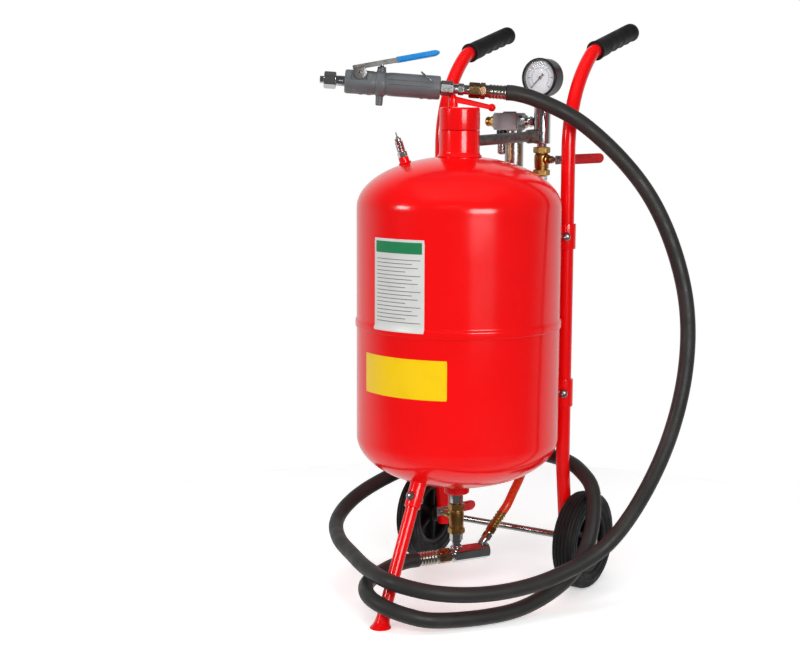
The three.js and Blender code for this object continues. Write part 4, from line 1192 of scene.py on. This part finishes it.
def gauge():
    at = Vector((POST[0], 185, 927))
    front = Vector((0, -1, 0))
    profile = [(0, 0), (30, 0), (34, 2.5), (34, 26), (35, 27), (35, 32.4), (33.6, 34), (31, 34)]
    profile += [(30.8, 32.6), (30.8, 25), (0, 25)]
    low, high = extent("gauge_case")
    scale = min(1.0, (high.x - low.x) / 2 / 34)
    profile = [(r * scale, h) for r, h in profile]
    stem = [rod((*POST, 892.3), (*POST, 898), 7, 32), hexagon(13, 892.4, 897, (*POST, 0), UP)]
    stand_in("gauge_case", [turned(profile, at, front, 96, soft=0.9), *stem], BLACK)
    face = turned(square(0, 30.2, 25.3, 26.5), at, front, 80, soft=0.2)
    stand_in("gauge_dial", face, DIAL)
    printed_at = at + front * 26.62
    ticks = []
    for i in range(55):
        turn = math.radians(225 - 5 * i)
        major = i % 9 == 0
        out = Vector((math.cos(turn), 0, math.sin(turn)))
        inner, outer = (20.5 if major else 23.0), 26.2
        width = 1.1 if major else 0.5
        centre = printed_at + out * ((inner + outer) / 2)
        span = (outer - inner) / 2
        outline = square(-span, span, -width / 2, width / 2)
        ticks.append(plate(outline, 0.16, centre, out, out.cross(front), 0))
    piece("gauge_ticks", ticks, BLACK, ROOT)
    ring = []
    turns = [math.radians(225 - 3 * i) for i in range(91)]
    for radius, wide in ((27.0, 0.35), (17.2, 0.6)):
        line = [printed_at + Vector((radius * math.cos(a), 0, radius * math.sin(a))) for a in turns]
        ring.append(sweep(line, wide / 2, 6))
    for i in range(31):
        turn = math.radians(225 - 9 * i)
        out = Vector((math.cos(turn), 0, math.sin(turn)))
        outline = square(-1.2, 1.2, -0.2, 0.2)
        ring.append(plate(outline, 0.14, printed_at + out * 18.6, out, out.cross(front), 0))
    piece("gauge_scale", ring, INK, ROOT)
    point = Vector((-1, 0, -1)).normalized()
    side = point.cross(Vector((0, 1, 0))).normalized()
    outline = [(-9, -2.6), (-4, -0.9), (0, -1.1), (25, -0.45)]
    outline += [(26.5, 0), *((x, -y) for x, y in reversed(outline))]
    hand = plate(outline, 0.9, at + front * 28, point, side, 0.1)
    hub = turned([(0, 27.1), (2.8, 27.1), (2.8, 28.8), (1.8, 29.4), (0, 29.4)], at, front, 28, soft=0.3)
    stand_in("gauge_needle", [hand, hub], BLACK)
    dome = [(0, 31), (30.3, 31), (30.3, 32.2), (24, 32.9), (12, 33.3), (0, 33.4)]
    stand_in("gauge_glass", revolve(dome, at, front, 64), LENS)


outlet_line()
manifold()
gauge()


# ---------------------------------------------------------------- hand gun
def gun_rod(s0, s1, radius):
    return rod(gun_point(s0), gun_point(s1), radius, 40, 0.6)


def gun_nut(across, s0, s1):
    return hexagon(across, s0, s1, gun_point(0), GUN_DIR)


def gun_body():
    profile = [(0, 0), (18.6, 0), (20.0, 1.2), (GUN_R, 3), (GUN_R, 46), (20.2, 50), (19.6, 54), (19.6, 74)]
    profile += [(20.2, 78), (20.4, 82), (20.4, 140), (GUN_R, 146), (GUN_R, 163.6)]
    profile += [(19.4, 165.6), (18, 166.2), (0, 166.2)]
    origin = gun_point(-200.6)
    barrel = turned(profile, origin, GUN_DIR, 72, soft=1.2)
    collar = [(0, 0), (20.4, 0), (22, 2), (22.3, 8.7), (22, 15.4), (20.4, 17.4), (0, 17.4)]
    tower = [(0, 0), (8.8, 0), (7.6, 9.5), (7.2, 13), (0, 13)]
    tower = turned(tower, gun_point(-138, 0, 16.0), GUN_UP, 40, soft=1.4)
    peg = [(0, 0), (9.4, 0), (6.6, 6), (6.2, 20), (5.2, 21.8), (0, 21.8)]
    peg = turned(peg, gun_point(-139, 0, -16.2), -GUN_UP, 40, soft=1.4)
    shapes = [barrel, turned(collar, gun_point(-147), GUN_DIR, 72, soft=1.8), peg]
    for side in (-1, 1):
        for z in (8.8, 1.0):
            wide = math.sqrt(GUN_R**2 - z**2)
            rail = [gun_point(s, side * (wide - 0.9), z) for s in (-126, -120, -90, -60, -50, -44)]
            shapes.append(sweep(rail, lambda s, _a: 1.7 * min(1.0, 0.35 + s / 6, 0.35 + (82 - s) / 6), 12))
        shapes.append(rod(gun_point(-158, side * 12, 12), gun_point(-158, side * 17.6, 12), 3.0, 24))
        shapes.append(rod(gun_point(-192, side * 15, -13), gun_point(-180, side * 15, -13), 2.2, 16, 1.0))
    for s in (-172, -158, -66, -52):
        shapes.append(rod(gun_point(s, 0, -19.6), gun_point(s, 0, -21.2), 3.4, 24, 0.6))
    pockets = [block_on_gun(-190.5, -161.5, side * 12.6, side * 30, 3.6, 30) for side in (-1, 1)]
    pin = rod(pivot_point(-40), pivot_point(40), 2.5, 20)
    stand_in("gun_body", [cut(shapes[0], *pockets, pin), *shapes[1:]], ALLOY, 34)
    piece("gun_guide", tower, ALLOY, ROOT)


def pivot_point(across=0.0):
    """A point on the trigger's pin."""
    return gun_point(GUN_PIN[0], across, GUN_PIN[1])


def block_on_gun(s0, s1, across0, across1, up0, up1):
    outline = square(s0, s1, up0, up1)
    mid = (across0 + across1) / 2
    return plate(outline, abs(across1 - across0), gun_point(0, mid, 0), GUN_DIR, GUN_UP, 0.8)


def gun_trigger():
    turn = math.radians(TRIGGER_TILT)
    along = GUN_DIR * math.cos(turn) + GUN_UP * math.sin(turn)
    over = GUN_UP * math.cos(turn) - GUN_DIR * math.sin(turn)
    start = gun_point(-186, 0, 24)
    pivot = pivot_point()
    shapes = [plate(square(-2, 80, 1.9, 4.1), 30.6, start, along, over, 0.7)]
    for side in (-1, 1):
        mid = side * 14.25
        across = GUN_SIDE * mid
        outline = [(-2, -3.4), (80, -4.1), (80, 3.6), (-2, 3.6)]
        shapes.append(plate(outline, 2.4, start + across, along, over, 0.7))
        cheek = square(0, 11.6, -1.2, 1.2)
        shapes.append(turned(cheek, pivot + across, GUN_SIDE, 56, soft=0.5))
    body = BODY_OF["gun_trigger"]
    piece("gun_trigger_steel", shapes, CHEEK, body)
    outline = [(73, -5.2), (144, -5.2), (150.5, -2), (150.5, 2), (144, 5.2), (73, 5.2)]
    stand_in("gun_trigger", plate(outline, 31.6, start, along, over, 3.4, 5, 4.2), BLUE, 60)
    pin = rod(pivot_point(-16.4), pivot_point(16.4), 2.4, 24)
    stand_in("trigger_pin", pin, STEEL)
    plunger = [(0, 0), (4.2, 0), (4.2, 21.5), (3, 23), (3, 27.6), (1.8, 28.8), (0, 28.8)]
    plunger = turned(plunger, gun_point(-138, 0, 7.8), GUN_UP, 28, soft=0.5)
    stand_in("trigger_plunger", plunger, CHROME)


def gun_fittings():
    shapes = [gun_rod(-217, -200.4, 9), gun_nut(26, -237, -215.7)]
    tip = cut(gun_rod(-244, -236, 6.5), gun_rod(-250, -225, 3.6))
    thread = threaded(gun_point(0), GUN_DIR, 9.4, -212, -202, 1.3)
    stand_in("gun_nozzle", [*shapes, tip, thread], CHROME)
    shapes = [gun_nut(23, -34.1, -12), gun_rod(-13, -4.3, 8.5)]
    stand_in("gun_adapter", shapes, ZINC)
    foot, top = (-49, 9.7), (-69, 24.6)
    bows = [(foot, -17), (foot, -22.4), (top, -22.4), (top, 22.4), (foot, 22.4), (foot, 17)]
    corners = [gun_point(s, across, up) for (s, up), across in bows]
    line = [corners[0]]
    for a, b, c in zip(corners, corners[1:], corners[2:]):
        back, on = (a - b).normalized() * 3, (c - b).normalized() * 3
        line += [b + back * (1 - t) ** 2 + on * t * t for t in (0, 0.25, 0.5, 0.75, 1)]
    line.append(corners[-1])
    stand_in("gun_latch", sweep(line, 1.2, 14), ZINC, 60)
    shapes = [gun_nut(18, -4, 6.5), gun_rod(6, 16, 8.5)]
    piece("hose_swivel", shapes, CHROME, ROOT)
    stand_in("hose_nut_upper", gun_nut(24, 15, 35), DARK_BRASS)
    piece("hose_lock_ring", gun_nut(25, 34.4, 44.2), COPPER, ROOT)


gun_body()
gun_trigger()
gun_fittings()


# ---------------------------------------------------------------- stage and light
def area(name, at, aim, size, watts, mirrored=True):
    """A soft rectangular lamp. One that isn't mirrored lights the object without a reflection of its own."""
    data = bpy.data.lights.new(name, "AREA")
    data.shape = "RECTANGLE"
    data.size, data.size_y = size
    data.energy = watts
    lamp = bpy.data.objects.new(name, data)
    bpy.context.scene.collection.objects.link(lamp)
    lamp.location = at
    lamp.rotation_euler = (Vector(aim) - Vector(at)).to_track_quat("-Z", "Y").to_euler()
    lamp.visible_glossy = mirrored


def make_floor():
    mesh = bpy.data.meshes.new("floor")
    count = 96
    turns = [2 * math.pi * k / count for k in range(count)]
    reach = 1.0
    mesh.from_pydata([(reach * math.cos(a), reach * math.sin(a), 0) for a in turns], [], [list(range(count))])
    floor = bpy.data.objects.new("floor", mesh)
    bpy.context.scene.collection.objects.link(floor)
    f = Finish("floor_paper", (0.90, 0.90, 0.90), 0.6)
    f.tint(f.noise(3, 2), (0.885, 0.885, 0.885))
    f.shader.inputs["Emission Color"].default_value = (1, 1, 1, 1)
    f.shader.inputs["Emission Strength"].default_value = 0.45
    mesh.materials.append(f.done())
    floor.visible_glossy = False


def make_world():
    """A pale studio: bright behind and at the sides, darker from where the key lights stand."""
    world = bpy.data.worlds.new("studio")
    bpy.context.scene.world = world
    world.use_nodes = True
    nodes, links = world.node_tree.nodes, world.node_tree.links
    background = next(n for n in nodes if n.type == "BACKGROUND")
    where = nodes.new("ShaderNodeTexCoord")
    dot = nodes.new("ShaderNodeVectorMath")
    dot.operation = "DOT_PRODUCT"
    dot.inputs[1].default_value = (math.sin(math.radians(34)), -math.cos(math.radians(34)), 0.6)
    links.new(where.outputs["Generated"], dot.inputs[0])
    ramp = nodes.new("ShaderNodeMapRange")
    ramp.interpolation_type = "SMOOTHSTEP"
    for socket, value in zip(("From Min", "From Max", "To Min", "To Max"), (-0.75, 0.1, 0.8, 0.10)):
        ramp.inputs[socket].default_value = value
    links.new(dot.outputs["Value"], ramp.inputs["Value"])
    path = nodes.new("ShaderNodeLightPath")
    mix = nodes.new("ShaderNodeMix")
    links.new(path.outputs["Is Camera Ray"], mix.inputs["Factor"])
    links.new(ramp.outputs["Result"], mix.inputs["A"])
    mix.inputs["B"].default_value = 1.0
    links.new(mix.outputs["Result"], background.inputs["Strength"])
    background.inputs["Color"].default_value = (1, 1, 1, 1)


def around(az, distance, height):
    """A point round the tank; azimuth 0 is the camera's side, positive to its right."""
    turn = math.radians(-90 + 32.2 + az)
    return AXIS + Vector((math.cos(turn) * distance, math.sin(turn) * distance, height))


make_floor()
make_world()
centre = AXIS + Vector((0, 0, 0.5))
chest = AXIS + Vector((0, 0, 0.6))
area("key", around(25, 2.0, 0.995), chest, (0.9, 0.5), 16)
area("streak", around(25, 2.0, 0.48), chest, (0.9, 0.5), 0.55)
area("left", around(-64, 2.2, 1.25), chest, (0.5, 0.35), 10)
area("top", AXIS + Vector((0.2, -0.4, 2.6)), centre, (2.4, 2.0), 32, mirrored=False)
area("front", around(-12, 4.2, 2.6), centre, (2.0, 1.2), 72, mirrored=False)
bpy.context.scene.view_settings.view_transform = "Standard"
